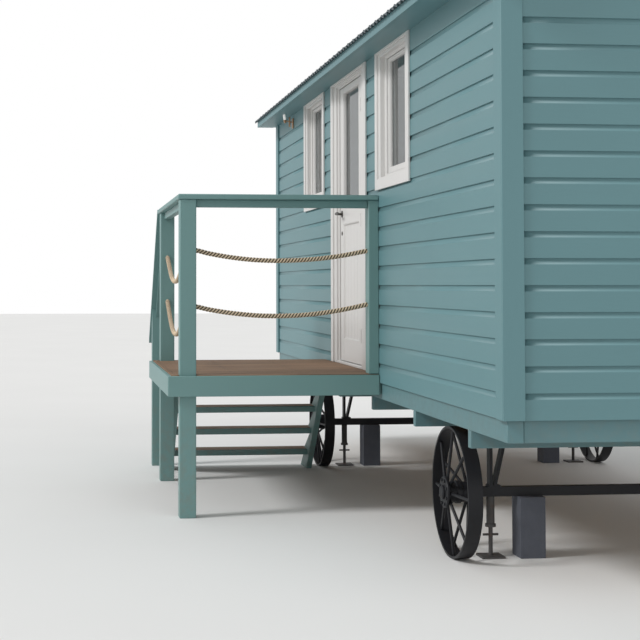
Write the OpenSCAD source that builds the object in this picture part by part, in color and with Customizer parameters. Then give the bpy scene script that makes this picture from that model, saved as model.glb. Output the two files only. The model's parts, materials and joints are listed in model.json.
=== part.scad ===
// A wooden hut on four spoked wheels, with a raised deck, a rope rail and a flight of steps at its door.
// Millimetres, +Z up. X runs along the hut and the door side faces -Y. The hut is drawn about its own
// middle and then moved so that the origin lies under the middle of the whole object's box.

/* [Hut body] */
// Length over the corner boards
hut_l = 6400; // [6000:50:6800]
// Width over the corner boards
hut_w = 2400; // [2200:20:2600]
// Height of the cladding's lower edge above the ground
wall_base = 800; // [780:5:820]
// Height of the level soffit under the eaves
soffit_z = 2820; // [2806:2:2830]
// Thickness of a wall, from the cladding to the lining
wall_t = 100; // [80:5:120]
// Thickness of the corner boards and casings, which lie on the cladding
trim_t = 12; // [10:1:14]
// Width of a corner board
corner_w = 100; // [80:5:120]
// Thickness of the floor
floor_t = 60; // [40:5:65]
// Boards of cladding between its lower edge and the soffit
courses = 17; // [15:1:19]
// Height of the hollow along each board's top
scoop_h = 28; // [24:1:32]
// Depth of that hollow under the lap of the board above
scoop_d = 8; // [6:1:10]

/* [Roof] */
// Height of the roof boards' upper face at the crown
crown_z = 3300; // [3260:5:3330]
// Height of the roof boards' upper face at the eaves
eave_z = 2870; // [2864:2:2890]
// Overhang of the eaves, measured from the corner boards
eave_out = 150; // [130:5:170]
// Overhang of the roof boards past the end walls
verge_out = 90; // [60:5:120]
// Thickness of the fascias and the verge boards
roof_trim_t = 20; // [16:1:24]
// Thickness of the roof boards
roof_board_t = 25; // [20:1:28]
// Distance from one crest of the corrugated sheeting to the next
wave_pitch = 76; // [70:1:90]
// Height of the sheeting's waves
wave_depth = 16; // [10:1:20]
// Thickness of the sheeting
sheet_t = 2; // [1.5:0.5:3]
// Depth of the curved verge boards
verge_w = 120; // [100:1:130]

/* [Door and windows] */
// Middle of the door along the hut
door_x = -112; // [-130:2:-90]
// Width over the door's casing
door_casing_w = 1130; // [1110:10:1150]
// Width of the door leaf
leaf_w = 695; // [675:5:715]
// Height of the leaf's top above the ground
leaf_top = 2765; // [2745:5:2770]
// Thickness of the leaf
leaf_t = 44; // [40:1:50]
// Distance of each window's middle from the door's middle
window_off = 1254; // [1230:2:1280]
// Width over a window's casing
window_casing_w = 828; // [800:4:860]
// Height of the casing's lower edge
window_base = 1975; // [1950:5:2000]
// Width of the door's casing boards
casing_w = 75; // [65:1:80]
// Width of the windows' casing boards
window_board_w = 54; // [48:1:60]

/* [Underframe] */
// Height of the sill beams
sill_h = 100; // [80:5:110]
// Width of the sill beams
sill_w = 74; // [60:1:80]
// Height of the cross bearers
bearer_h = 85; // [70:5:90]
// Side of the square axles
axle_w = 48; // [44:1:56]
// Middle of the near axle along the hut
near_axle_x = 2115; // [2050:5:2200]
// Middle of the far axle along the hut
far_axle_x = -1575; // [-1620:5:-1540]

/* [Wheels] */
// Outer radius of a wheel
wheel_r = 335; // [330:1:340]
// Width of the tyre
tyre_w = 75; // [60:1:85]
// Distance of the tyre's outer face behind the corner boards
wheel_in = 65; // [55:1:80]
// Spokes in each of the two rows
spokes = 8; // [6:1:10]

/* [Deck] */
// Middle of the deck along the hut
deck_x = -75; // [-90:5:-60]
// Length of the deck along the hut
deck_l = 1750; // [1700:10:1780]
// Reach of the deck from the corner boards
deck_reach = 1280; // [1240:10:1300]
// Height of the deck's surface
deck_z = 855; // [850:1:860]
// Height of the fascia boards
fascia_h = 128; // [110:1:130]
// Side of a post
post_w = 100; // [90:1:104]
// Height of the cap rail's top above the deck
rail_h = 1090; // [1060:5:1120]

/* [Steps] */
// Rise from one tread to the next
rise = 176; // [170:1:178]
// Going of one step
going = 162; // [158:1:166]

/* [Ropes] */
// Diameter of the rail ropes
rope_d = 30; // [24:1:32]

/* [Hidden] */
$fn = 96;

paint = "#6f9a9c";
paint_dark = "#4f7377";
white = "#e9e7e4";
black_iron = "#23262b";
deck_brown = "#7d6453";
glass_blue = "#9fb4bf";
rope_tan = "#b39b76";
copper = "#9a6a46";
eps = 1;

// The hut's outer planes, and the inner planes of its walls
half_l = hut_l / 2;
half_w = hut_w / 2;
clad_l = half_l - trim_t;
clad_w = half_w - trim_t;
room_l = clad_l - wall_t;
room_w = clad_w - wall_t;
course_h = (soffit_z - wall_base) / courses;
scoop_r = (scoop_h * scoop_h + scoop_d * scoop_d) / (2 * scoop_d);

// The roof is an arch struck from one centre
eave_y = half_w + eave_out;
roof_rise = crown_z - eave_z;
boards_top_r = (eave_y * eave_y + roof_rise * roof_rise) / (2 * roof_rise);
roof_cz = crown_z - boards_top_r;
boards_low_r = boards_top_r - roof_board_t;
verge_low_r = boards_top_r - verge_w;
roof_end = half_l + verge_out;
fascia_in = eave_y - roof_trim_t;
soffit_t = 15;
soffit_gap = 1;
arc_fn = 180;
gable_courses = floor((crown_z - roof_board_t - wall_base) / course_h);

// The sheeting's waves run from eave to eave, and its lip overhangs the fascia
sheet_lip = 25;
sheet_reach = eave_y + sheet_lip;
sheet_top_r = boards_top_r + wave_depth + sheet_t;
wave_steps = 6;
waves = 2 * ceil((roof_end + roof_trim_t) / wave_pitch);

// The whole object's box is centred over the origin
deck_outer_y = -half_w - deck_reach;
row_shift = -(deck_outer_y + sheet_reach) / 2;

// A casing is stepped: boards on the cladding, a lining just behind their face, then the frame
trim_lap = 10;
lining_out = 2;
lining_step = 18;
head_strip_h = 17;
casing_top = soffit_z - head_strip_h;
hole_top = casing_top + trim_lap;

// Windows
sill_board_h = 65;
window_inner = window_casing_w / 2 - window_board_w;
window_hole = window_inner - trim_lap;
window_frame_w = 47;
window_lining = window_inner - 58;
window_open = window_lining - window_frame_w;
lining_low = window_base + sill_board_h;
window_low = lining_low - trim_lap;
open_low = window_low + 37;
open_high = hole_top - window_frame_w;
window_frame_back = 37.5;
sash_stile = 35;
sash_low_rail = 38;
sash_top_rail = 22;
sash_t = 50;
sash_back = 46.5;
sash_gap = 3;
sash_half = window_open - sash_gap;
sash_low = open_low + sash_gap;
sash_high = open_high - sash_gap;
glass_t = 6;
glass_back = 65.5;

// Door
leaf_gap = 5;
free_gap = 8;
frame_in = (leaf_w + leaf_gap + free_gap) / 2;
frame_out = door_casing_w / 2 - casing_w + trim_lap;
frame_w = 48;
frame_back = 22;
open_top = leaf_top + leaf_gap;
threshold_z = deck_z + 15;
leaf_low = threshold_z + leaf_gap;
leaf_near = frame_in - leaf_gap;
leaf_free = -frame_in + free_gap;
leaf_face = -half_w + 28;
leaf_back = leaf_face + leaf_t;
stile_w = 100;
bottom_rail_h = 150;
lock_rail_low = 1815;
lock_rail_top = 1945;
top_rail_h = 38;
panel_in = 10;
panel_boards = 5;
groove = 4;
door_glass_in = 24;

// The hinge pins stand in front of the leaf's near edge
pin_x = door_x + leaf_near - 2;
pin_r = 6;
pin_y = leaf_face - pin_r - 1;
knuckle_h = 90;

// Underframe
sill_in = 26;
sill_top = wall_base;
sill_low = sill_top - sill_h;
bearer_low = sill_low - bearer_h;
bearer_t = 45;
first_bearer = 600;
bearer_count = 6;
over_far_axle = 4;
rail_y = 890;
rail_t = 70;

// Wheels: local z runs from the tyre's outer face towards the hut's middle
tyre_t = 12;
hub_r = 52;
hub_out = 32;
hub_in = 115;
flange_r = 80;
flange_t = 12;
cap_r = 36;
cap_h = 14;
stub_r = 20;
stub_clear = 0.1;
stub_short = 8;
spoke_r = 8;
spoke_fn = 24;
axle_end = half_w - wheel_in - hub_in - 5;
axle_low = wheel_r - axle_w / 2;
axle_high = wheel_r + axle_w / 2;

// Deck
deck_near = deck_x + deck_l / 2;
deck_far = deck_x - deck_l / 2;
deck_board_t = 28;
board_count = 11;
board_gap = 5;
post_gap = 3;
fascia_t = 25;
beam_t = 47;
joist_in = [400, 820];
joist_lift = 6;
slab_near = deck_near - fascia_t;
slab_far = deck_far + fascia_t;
post_out = deck_outer_y + fascia_t + beam_t;
post_in = post_out + post_w;
near_post_x = slab_near - post_w;
far_post_x = slab_far;
wall_post_w = 50;
cap_t = 32;
cap_over = 10;
cap_joint = 2;
cap_far_x = far_post_x - 100;
under_h = 46;
under_t = 45;
rail_top = deck_z + rail_h;
rail_low = rail_top - cap_t;
rope_x = near_post_x + post_w / 2;
rope_y = post_out + post_w / 2;

// Steps
tread_t = 30;
tread_d = 225;
tread_count = 4;
stringer_t = 40;
tooth_in = 98;
tooth_heel = 200;
stringer_foot = 62;
stringer_back = 70;
stringer_hook = 83;
newel_x = -1782;
handrail_t = 37;
handrail_far = -1944;
handrail_far_z = 975;

// Heights of each rope along its span, from one post to the other. The near ropes run from the wall
// post out to the corner post, and the side ropes from the far post to the corner post.
near_upper_route = [
    [-1250, 1605], [-1290, 1598], [-1350, 1586], [-1430, 1572], [-1520, 1560], [-1620, 1551],
    [-1720, 1546], [-1820, 1544], [-1920, 1547], [-2010, 1554], [-2100, 1565], [-2180, 1578],
    [-2240, 1590], [-2308, 1606]];
near_lower_route = [
    [-1250, 1276], [-1290, 1268], [-1350, 1255], [-1430, 1240], [-1520, 1226], [-1620, 1215],
    [-1720, 1209], [-1820, 1207], [-1920, 1210], [-2010, 1217], [-2100, 1227], [-2180, 1239],
    [-2240, 1250], [-2308, 1265]];
side_upper_route = [
    [-825, 1593], [-770, 1572], [-700, 1544], [-610, 1508], [-510, 1472], [-400, 1442], [-290, 1425],
    [-180, 1420], [-70, 1421], [40, 1430], [150, 1448], [260, 1474], [360, 1505], [450, 1537],
    [530, 1567], [600, 1592], [675, 1618]];
side_lower_route = [
    [-825, 1280], [-770, 1254], [-700, 1221], [-610, 1180], [-510, 1140], [-400, 1104], [-290, 1081],
    [-180, 1071], [-70, 1070], [40, 1079], [150, 1098], [260, 1128], [360, 1164], [450, 1200],
    [530, 1233], [600, 1260], [675, 1282]];

module place() { translate([0, row_shift, 0]) children(); }

// A box given by its low and high corners
module block(low, high) { translate(low) cube(high - low); }

// The same piece on both sides of the hut
module both_sides() {
    children();
    mirror([0, 1, 0]) children();
}

// The same piece at both ends of the hut
module both_ends() {
    children();
    mirror([1, 0, 0]) children();
}

// A solid cylinder along the hut, struck from the roof's centre
module roof_drum(r, reach) {
    translate([-reach, 0, roof_cz]) rotate([0, 90, 0]) cylinder(h = 2 * reach, r = r, $fn = arc_fn);
}

// Walls: each rises to the curved underside of the roof boards

// A wall's section with its weather face on the left: every board is hollowed along its top
module boarded_section(laps) {
    difference() {
        translate([0, wall_base]) square([wall_t, crown_z - wall_base]);
        for (k = [1 : laps]) translate([0, wall_base + k * course_h]) intersection() {
            translate([scoop_d - scoop_r, 0]) circle(r = scoop_r);
            translate([-eps, -scoop_h]) square([scoop_d + 2 * eps, scoop_h]);
        }
    }
}

module front_slab(x_low, x_high) {
    intersection() {
        translate([x_low, -clad_w, 0]) rotate([90, 0, 90]) linear_extrude(x_high - x_low)
            boarded_section(courses - 1);
        roof_drum(boards_low_r, half_l);
    }
}

module window_hole(x) {
    block([x - window_hole, -half_w, window_low], [x + window_hole, -room_w + eps, hole_top]);
}

module front_wall_near() {
    color(paint) difference() {
        front_slab(door_x + frame_out, room_l);
        window_hole(door_x + window_off);
    }
}

module front_wall_far() {
    color(paint) difference() {
        front_slab(-room_l, door_x - frame_out);
        window_hole(door_x - window_off);
    }
}

module front_wall_over_door() {
    color(paint) intersection() {
        block([door_x - frame_out, -clad_w, hole_top], [door_x + frame_out, -room_w, crown_z]);
        roof_drum(boards_low_r, half_l);
    }
}

module back_wall() {
    color(paint) mirror([0, 1, 0]) front_slab(-room_l, room_l);
}

// An end wall covers the long walls' ends and rises into the gable
module end_slab() {
    intersection() {
        translate([clad_l, clad_w, 0]) rotate([90, 0, 0]) linear_extrude(2 * clad_w)
            mirror([1, 0]) boarded_section(gable_courses);
        roof_drum(boards_low_r, half_l);
    }
}

module near_end_wall() { color(paint) end_slab(); }

module far_end_wall() { color(paint) mirror([1, 0, 0]) end_slab(); }

module floor_slab() {
    color("#a98a63") block([-room_l, -room_w, wall_base], [room_l, room_w, wall_base + floor_t]);
}

// A corner has one board on the long face and one on the end face, which covers the first one's edge
module corner_boards() {
    color(paint) both_ends() both_sides() {
        block([clad_l - corner_w, -half_w, wall_base], [clad_l - eps / 2, -clad_w, soffit_z]);
        block([clad_l, -half_w, wall_base], [half_l, -half_w + corner_w, soffit_z]);
    }
}

// Roof

module roof_boards() {
    color("#8d8a7c") intersection() {
        difference() {
            roof_drum(boards_top_r, roof_end);
            roof_drum(boards_low_r, roof_end + eps);
        }
        block([-roof_end, -fascia_in, soffit_z], [roof_end, fascia_in, crown_z + eps]);
    }
}

function wave_r(i) = boards_top_r + wave_depth * (1 - cos(360 * i / wave_steps)) / 2;
function wave_x(i) = (i / wave_steps - waves / 2) * wave_pitch;

// The waved section of the sheeting, turned about the roof's centre from one eave to the other
module roof_sheeting() {
    steps = waves * wave_steps;
    half_angle = asin(sheet_reach / sheet_top_r);
    upper = [for (i = [0 : steps]) [wave_r(i) + sheet_t, wave_x(i)]];
    lower = [for (i = [steps : -1 : 0]) [wave_r(i), wave_x(i)]];
    color("#5e676b") translate([0, 0, roof_cz]) rotate([0, 90, 0]) rotate([0, 0, 180 - half_angle])
        rotate_extrude(angle = 2 * half_angle, $fn = arc_fn) polygon(concat(upper, lower));
}

module verge_boards() {
    color(paint) both_ends() translate([roof_end, 0, 0]) intersection() {
        translate([0, 0, roof_cz]) rotate([0, 90, 0]) difference() {
            cylinder(h = roof_trim_t, r = boards_top_r, $fn = arc_fn);
            translate([0, 0, -eps]) cylinder(h = roof_trim_t + 2 * eps, r = verge_low_r, $fn = arc_fn);
        }
        block([-eps, -eave_y, soffit_z], [roof_trim_t + eps, eave_y, crown_z + eps]);
    }
}

// A fascia over the roof boards' edge and a level soffit behind it
module eave_boards() {
    color(paint) both_sides() {
        intersection() {
            block([-roof_end, -eave_y, soffit_z], [roof_end, -fascia_in, crown_z]);
            roof_drum(boards_top_r, roof_end);
        }
        block([-roof_end, -fascia_in + soffit_gap, soffit_z], [roof_end, -clad_w, soffit_z + soffit_t]);
    }
}

// Windows

module window_casing(x) {
    half = window_casing_w / 2;
    color(white) translate([x, 0, 0]) {
        block([-half, -half_w, window_base], [-window_inner, -clad_w, soffit_z]);
        block([window_inner, -half_w, window_base], [half, -clad_w, soffit_z]);
        block([-window_inner, -half_w, window_base], [window_inner, -clad_w, lining_low]);
        block([-window_inner, -half_w, casing_top], [window_inner, -clad_w, soffit_z]);
        difference() {
            union() {
                block([-window_hole, -clad_w, window_low], [window_hole, -room_w, hole_top]);
                block([-window_inner, -clad_w - lining_out, lining_low], [window_inner, -clad_w, casing_top]);
            }
            block([-window_lining, -half_w, open_low - lining_step],
                  [window_lining, -half_w + window_frame_back, open_high + lining_step]);
            block([-window_open, -half_w, open_low], [window_open, -room_w + eps, open_high]);
        }
    }
}

module window_casings() {
    for (side = [-1, 1]) window_casing(door_x + side * window_off);
}

module window_sash(x) {
    face = -half_w + sash_back;
    back = face + sash_t;
    translate([x, 0, 0]) difference() {
        block([-sash_half, face, sash_low], [sash_half, back, sash_high]);
        block([-sash_half + sash_stile, face - eps, sash_low + sash_low_rail],
              [sash_half - sash_stile, back + eps, sash_high - sash_top_rail]);
    }
}

module window_sashes() {
    color(white) for (side = [-1, 1]) window_sash(door_x + side * window_off);
}

module window_glass() {
    half = sash_half - sash_stile;
    back = -half_w + glass_back;
    color(glass_blue) for (side = [-1, 1]) translate([door_x + side * window_off, 0, 0])
        block([-half, back, sash_low + sash_low_rail], [half, back + glass_t, sash_high - sash_top_rail]);
}

// Door: the casing's boards and lining stand on the deck, and the frame goes down to the wall's base
module door_casing() {
    half = door_casing_w / 2;
    inner = half - casing_w;
    step = frame_in + frame_w;
    color(white) translate([door_x, 0, 0]) {
        block([-half, -half_w, deck_z], [-inner, -clad_w, soffit_z]);
        block([inner, -half_w, deck_z], [half, -clad_w, soffit_z]);
        block([-inner, -half_w, casing_top], [inner, -clad_w, soffit_z]);
        difference() {
            union() {
                block([-frame_out, -clad_w, wall_base], [frame_out, -room_w, hole_top]);
                block([-inner, -clad_w - lining_out, deck_z], [inner, -clad_w, casing_top]);
            }
            block([-step, -half_w, threshold_z], [step, -half_w + frame_back, open_top + lining_step]);
            block([-frame_in, -half_w, threshold_z], [frame_in, -room_w + eps, open_top]);
        }
    }
}

// The leaf runs away from the near jamb: a glazed upper part over a panel of grooved boards
module door_leaf() {
    panel_low = leaf_low + bottom_rail_h;
    pitch = (leaf_w - 2 * stile_w) / panel_boards;
    color(white) translate([door_x, 0, 0]) difference() {
        block([leaf_free, leaf_face, leaf_low], [leaf_near, leaf_back, leaf_top]);
        block([leaf_free + stile_w, leaf_face - eps, lock_rail_top],
              [leaf_near - stile_w, leaf_back + eps, leaf_top - top_rail_h]);
        block([leaf_free + stile_w, leaf_face - eps, panel_low],
              [leaf_near - stile_w, leaf_face + panel_in, lock_rail_low]);
        for (i = [1 : panel_boards - 1]) translate([leaf_free + stile_w + i * pitch, 0, 0])
            block([-groove / 2, leaf_face, panel_low],
                  [groove / 2, leaf_face + panel_in + groove, lock_rail_low]);
    }
}

// Three butt hinges: a knuckle round the pin and a plate let into the gap at the leaf's edge
module door_hinges() {
    plate_t = 2;
    edge = door_x + leaf_near;
    color(black_iron) for (z = [leaf_low + 190, (leaf_low + leaf_top) / 2, leaf_top - 190]) {
        translate([pin_x, pin_y, z - knuckle_h / 2]) cylinder(h = knuckle_h, r = pin_r);
        block([edge, pin_y, z - knuckle_h / 2], [edge + plate_t, leaf_back - 5, z + knuckle_h / 2]);
    }
}

module door_glass() {
    back = leaf_face + door_glass_in;
    color(glass_blue) translate([door_x, 0, 0])
        block([leaf_free + stile_w, back, lock_rail_top],
              [leaf_near - stile_w, back + glass_t, leaf_top - top_rail_h]);
}

module door_handles() {
    handle_z = 1889;
    reach = 45;
    color("#3b3a38") for (side = [[leaf_face, -1], [leaf_back, 1]])
        translate([door_x + leaf_free + 58, side[0], handle_z]) {
            rotate([side[1] * -90, 0, 0]) {
                cylinder(h = 6, r = 25);
                cylinder(h = reach, r = 9);
            }
            translate([0, side[1] * reach, 0]) rotate([0, 90, 0]) cylinder(h = 110, r = 8);
        }
}

// Underframe

module sill_beams() {
    run = half_l - sill_in;
    side_y = half_w - sill_in;
    color(paint_dark) {
        both_sides() block([-run, -side_y, sill_low], [run, -side_y + sill_w, sill_top]);
        both_ends() block([run - sill_w - 8, -side_y + sill_w + 2, sill_low],
                          [run - 8, side_y - sill_w - 2, sill_top]);
    }
}

module chassis_rails() {
    run = half_l - sill_in - sill_w - 12;
    color(black_iron) both_sides()
        block([-run, -rail_y - rail_t / 2, sill_low], [run, -rail_y + rail_t / 2, sill_top]);
}

module cross_bearers() {
    reach = half_w - sill_in;
    pitch = (hut_l - 2 * first_bearer) / (bearer_count - 1);
    color(paint_dark) for (i = [0 : bearer_count - 1])
        if (i != over_far_axle) translate([half_l - first_bearer - i * pitch, 0, 0])
            block([-bearer_t / 2, -reach, bearer_low], [bearer_t / 2, reach, sill_low]);
}

// A square bar with a round stub at each end, which carries a wheel
module axles() {
    stub_end = half_w - wheel_in + hub_out - stub_short;
    color(black_iron) for (x = [near_axle_x, far_axle_x]) translate([x, 0, wheel_r]) {
        block([-axle_w / 2, -axle_end, -axle_w / 2], [axle_w / 2, axle_end, axle_w / 2]);
        both_sides() translate([0, -axle_end, 0]) rotate([90, 0, 0])
            cylinder(h = stub_end - axle_end, r = stub_r);
    }
}

// A bracket stands on the axle on a plate with round edges, and carries the chassis rail with an
// upright leg and a leaning one
module hanger(x) {
    leg_t = 16;
    leg_w = 50;
    lean = 76;
    foot_t = 12;
    foot_l = 66;
    foot_y = -half_w + 262;
    foot_top = axle_high + foot_t;
    head_t = 8;
    translate([x - leg_w / 2, foot_y, 0]) {
        block([0, foot_t / 2, axle_high], [leg_w, foot_l - foot_t / 2, foot_top]);
        for (y = [foot_t / 2, foot_l - foot_t / 2]) translate([0, y, axle_high + foot_t / 2])
            rotate([0, 90, 0]) cylinder(h = leg_w, r = foot_t / 2);
        block([0, 8, foot_top - 2], [leg_w, 8 + leg_t, sill_low]);
        rotate([90, 0, 90]) linear_extrude(leg_w) polygon([
            [30, foot_top - 2], [30 + leg_t, foot_top - 2],
            [30 + lean + leg_t, sill_low], [30 + lean, sill_low]]);
        block([0, 0, sill_low - head_t], [leg_w, 30 + lean + leg_t, sill_low]);
    }
}

module axle_hangers() {
    color(black_iron) for (x = [near_axle_x, far_axle_x]) both_sides() hanger(x);
}

// Wheels

// A round bar from the hub out into the tyre, leaning from its own row towards the rim's middle
module spoke(angle, hub_z, rim_z) {
    from_r = hub_r - 10;
    to_r = wheel_r - tyre_t + 3;
    run = to_r - from_r;
    rotate([0, 0, angle]) translate([from_r, 0, hub_z]) rotate([0, 90 - atan2(rim_z - hub_z, run), 0])
        cylinder(h = norm([rim_z - hub_z, run]), r = spoke_r, $fn = spoke_fn);
}

// The turned hub: a cap, two flanges with sloping shoulders and a waist with a raised band
module hub() {
    shoulder = 10;
    band_r = hub_r + 6;
    out_z = -hub_out + flange_t;
    in_z = hub_in - flange_t;
    mid_z = (out_z + in_z) / 2;
    rotate_extrude() polygon([
        [0, -hub_out - cap_h], [cap_r - 8, -hub_out - cap_h], [cap_r, -hub_out - cap_h + 5], [cap_r, -hub_out],
        [flange_r - 4, -hub_out], [flange_r, -hub_out + 4], [flange_r, out_z], [hub_r + shoulder, out_z + 3],
        [hub_r, out_z + shoulder], [hub_r, mid_z - 16], [band_r, mid_z - 12], [band_r, mid_z + 12],
        [hub_r, mid_z + 16], [hub_r, in_z - shoulder], [hub_r + shoulder, in_z - 3], [flange_r, in_z],
        [flange_r, hub_in], [0, hub_in]]);
}

module wheel() {
    difference() {
        union() {
            rotate_extrude() translate([wheel_r - tyre_t, 0]) square([tyre_t, tyre_w]);
            hub();
            for (i = [0 : spokes - 1]) {
                spoke(i * 360 / spokes, -hub_out + flange_t + spoke_r, tyre_w * 0.3);
                spoke((i + 0.5) * 360 / spokes, hub_in - flange_t - spoke_r, tyre_w * 0.7);
            }
        }
        translate([0, 0, -hub_out]) cylinder(h = hub_out + hub_in + eps, r = stub_r + stub_clear);
    }
}

module front_wheel(x) {
    color(black_iron) translate([x, -half_w + wheel_in, wheel_r]) rotate([-90, 0, 0]) wheel();
}

module back_wheel(x) {
    color(black_iron) translate([x, half_w - wheel_in, wheel_r]) rotate([90, 0, 0]) wheel();
}

// Props and blocks under the axles

// A screw on a foot plate runs up into a tube under the axle, with a collar and a handle to turn it
module screw_prop(x) {
    foot_t = 10;
    collar_z = 155;
    collar_h = 15;
    translate([x, -half_w + 280, 0]) {
        block([-60, -60, 0], [60, 60, foot_t]);
        translate([0, 0, foot_t]) cylinder(h = collar_z - foot_t, r = 11);
        translate([0, 0, collar_z]) cylinder(h = collar_h, r = 27);
        translate([0, 0, collar_z + collar_h]) cylinder(h = axle_low - collar_z - collar_h, r = 21);
        translate([0, 40, 115]) rotate([90, 0, 0]) cylinder(h = 80, r = 6);
    }
}

module screw_props() {
    color("#4a4640") for (x = [near_axle_x, far_axle_x]) both_sides() screw_prop(x);
}

module support_blocks() {
    color("#55585c") for (x = [near_axle_x, far_axle_x]) both_sides() translate([x, -half_w + 418, 0])
        block([-70, 0, 0], [70, 130, axle_low]);
}

// Deck: the boards lie across the joists, and each end one is split by an outer post
module deck_boards() {
    low = deck_z - deck_board_t;
    out = deck_outer_y + fascia_t;
    first = far_post_x + post_w;
    pitch = (near_post_x - first) / board_count;
    color(deck_brown) {
        for (i = [0 : board_count - 1]) translate([first + i * pitch, 0, 0])
            block([board_gap / 2, out, low], [pitch - board_gap / 2, -clad_w, deck_z]);
        for (x = [slab_far, near_post_x + board_gap / 2]) {
            block([x, out, low], [x + post_w - board_gap / 2, post_out - post_gap, deck_z]);
            block([x, post_in + post_gap, low], [x + post_w - board_gap / 2, -clad_w, deck_z]);
        }
    }
}

// Fascias on three sides, joists along the hut, and a ledger that is rebated under the wall
module deck_frame() {
    low = deck_z - fascia_h;
    top = deck_z - 5;
    joist_low = low + joist_lift;
    joist_top = deck_z - deck_board_t;
    ledger_y = -half_w + sill_in - beam_t;
    color(paint) {
        difference() {
            block([deck_far, deck_outer_y, low], [deck_near, -clad_w, top]);
            block([slab_far, deck_outer_y + fascia_t, low - eps], [slab_near, -clad_w + eps, top + eps]);
        }
        for (in = [fascia_t, joist_in[0], joist_in[1]])
            block([slab_far, deck_outer_y + in, joist_low],
                  [slab_near, deck_outer_y + in + beam_t, joist_top]);
        block([slab_far, ledger_y, joist_low], [slab_near, ledger_y + beam_t, wall_base]);
        block([slab_far, ledger_y, joist_low], [slab_near, -clad_w, joist_top]);
    }
}

module deck_posts() {
    color(paint) {
        block([near_post_x, post_out, 0], [near_post_x + post_w, post_in, rail_low]);
        block([far_post_x, post_out, 0], [far_post_x + post_w, post_in, rail_low]);
        block([near_post_x, -half_w - wall_post_w, deck_z], [near_post_x + post_w, -clad_w, rail_low]);
    }
}

// The cap rails lie flat on the posts and butt at the near corner
module cap_rails() {
    near_cap_x = near_post_x - cap_over;
    color(paint) {
        block([near_cap_x, post_out - cap_over, rail_low],
              [near_post_x + post_w + cap_over, -clad_w, rail_top]);
        block([cap_far_x, post_out - cap_over, rail_low],
              [near_cap_x - cap_joint, post_in + cap_over, rail_top]);
    }
}

module under_rails() {
    low = rail_low - under_h;
    color(paint) {
        block([rope_x - under_t / 2, post_in, low], [rope_x + under_t / 2, -half_w - wall_post_w, rail_low]);
        block([far_post_x + post_w, rope_y - under_t / 2, low], [near_post_x, rope_y + under_t / 2, rail_low]);
    }
}

// Ropes: a round tube swept along a route in one upright plane

rope_sides = 8;

function route_dir(r, i) = let (d = r[min(i + 1, len(r) - 1)] - r[max(i - 1, 0)]) d / norm(d);
function end_dir(r, i) = (i == 0 || i == len(r) - 1) ? [sign(r[1][0] - r[0][0]), 0] : route_dir(r, i);

// Rings of points about the route, as [along, across, up]
function rope_ring(r, i) = let (t = end_dir(r, i), n = [-t[1], t[0]]) [
    for (k = [0 : rope_sides - 1])
        let (a = 360 * k / rope_sides, u = rope_d / 2 * cos(a), v = rope_d / 2 * sin(a))
            [r[i][0] + n[0] * v, u, r[i][1] + n[1] * v]];

module rope(route) {
    rings = len(route);
    points = [for (i = [0 : rings - 1]) each rope_ring(route, i)];
    sides = [for (i = [0 : rings - 2], k = [0 : rope_sides - 1]) let (n = (k + 1) % rope_sides)
        [i * rope_sides + k, (i + 1) * rope_sides + k, (i + 1) * rope_sides + n, i * rope_sides + n]];
    first = [for (k = [0 : rope_sides - 1]) k];
    last = [for (k = [rope_sides - 1 : -1 : 0]) (rings - 1) * rope_sides + k];
    color(rope_tan) polyhedron(points = points, faces = concat(sides, [first, last]), convexity = 4);
}

// The near ropes run across the hut and the side ropes along it
module near_rope(route) { translate([rope_x, 0, 0]) rotate([0, 0, 90]) rope(route); }

module side_rope(route) { translate([0, rope_y, 0]) rope(route); }

// Steps

function tread_z(k) = deck_z - (k + 1) * rise;
function tread_x(k) = deck_far - (k + 1) * going;

// The stringer's back edge runs parallel to the flight
function back_x(z) = tread_x(tread_count - 1) + tread_d + stringer_back
    + (z - tread_z(tread_count - 1) + tread_t) * going / rise;
function back_z(x) = tread_z(tread_count - 1) - tread_t
    + (x - tread_x(tread_count - 1) - tread_d - stringer_back) * rise / going;

// The front edge is cut in slanted teeth between the treads, and the head hooks under the deck's fascia
module stringer_outline() {
    head_x = deck_far + stringer_hook;
    hook_z = deck_z - fascia_h - 5;
    polygon(concat(
        [[deck_far, deck_z - 30]],
        [for (k = [0 : tread_count - 1]) each concat(
            [[tread_x(k) + tooth_in, tread_z(k)], [tread_x(k) + tooth_in, tread_z(k) - tread_t]],
            k < tread_count - 1 ? [[tread_x(k) + tooth_heel, tread_z(k) - tread_t]] : [])],
        [[tread_x(tread_count - 1) - stringer_foot, 0], [back_x(0), 0], [head_x, back_z(head_x)],
         [head_x, hook_z], [deck_far, hook_z]]));
}

// Each tread is let into both stringers, which are cut right through for it
module stringers() {
    color(paint) for (y = [post_in, -half_w - 50]) difference() {
        translate([0, y + stringer_t, 0]) rotate([90, 0, 0]) linear_extrude(stringer_t) stringer_outline();
        for (k = [0 : tread_count - 1]) block([tread_x(k), y - eps, tread_z(k) - tread_t],
                                              [tread_x(k) + tread_d, y + stringer_t + eps, tread_z(k)]);
    }
}

module treads() {
    color(deck_brown) for (k = [0 : tread_count - 1])
        block([tread_x(k), post_in, tread_z(k) - tread_t],
              [tread_x(k) + tread_d, -half_w - 50 + stringer_t, tread_z(k)]);
}

// The handrail's underside, from the outer cap rail down to its far end
function handrail_low(x) = handrail_far_z - handrail_t
    + (rail_top - handrail_far_z) * (x - handrail_far) / (cap_far_x - handrail_far);

module newel_post() {
    color(paint) translate([0, post_in, 0]) rotate([90, 0, 0]) linear_extrude(post_w) polygon([
        [newel_x, 0], [newel_x + post_w, 0],
        [newel_x + post_w, handrail_low(newel_x + post_w)], [newel_x, handrail_low(newel_x)]]);
}

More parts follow.
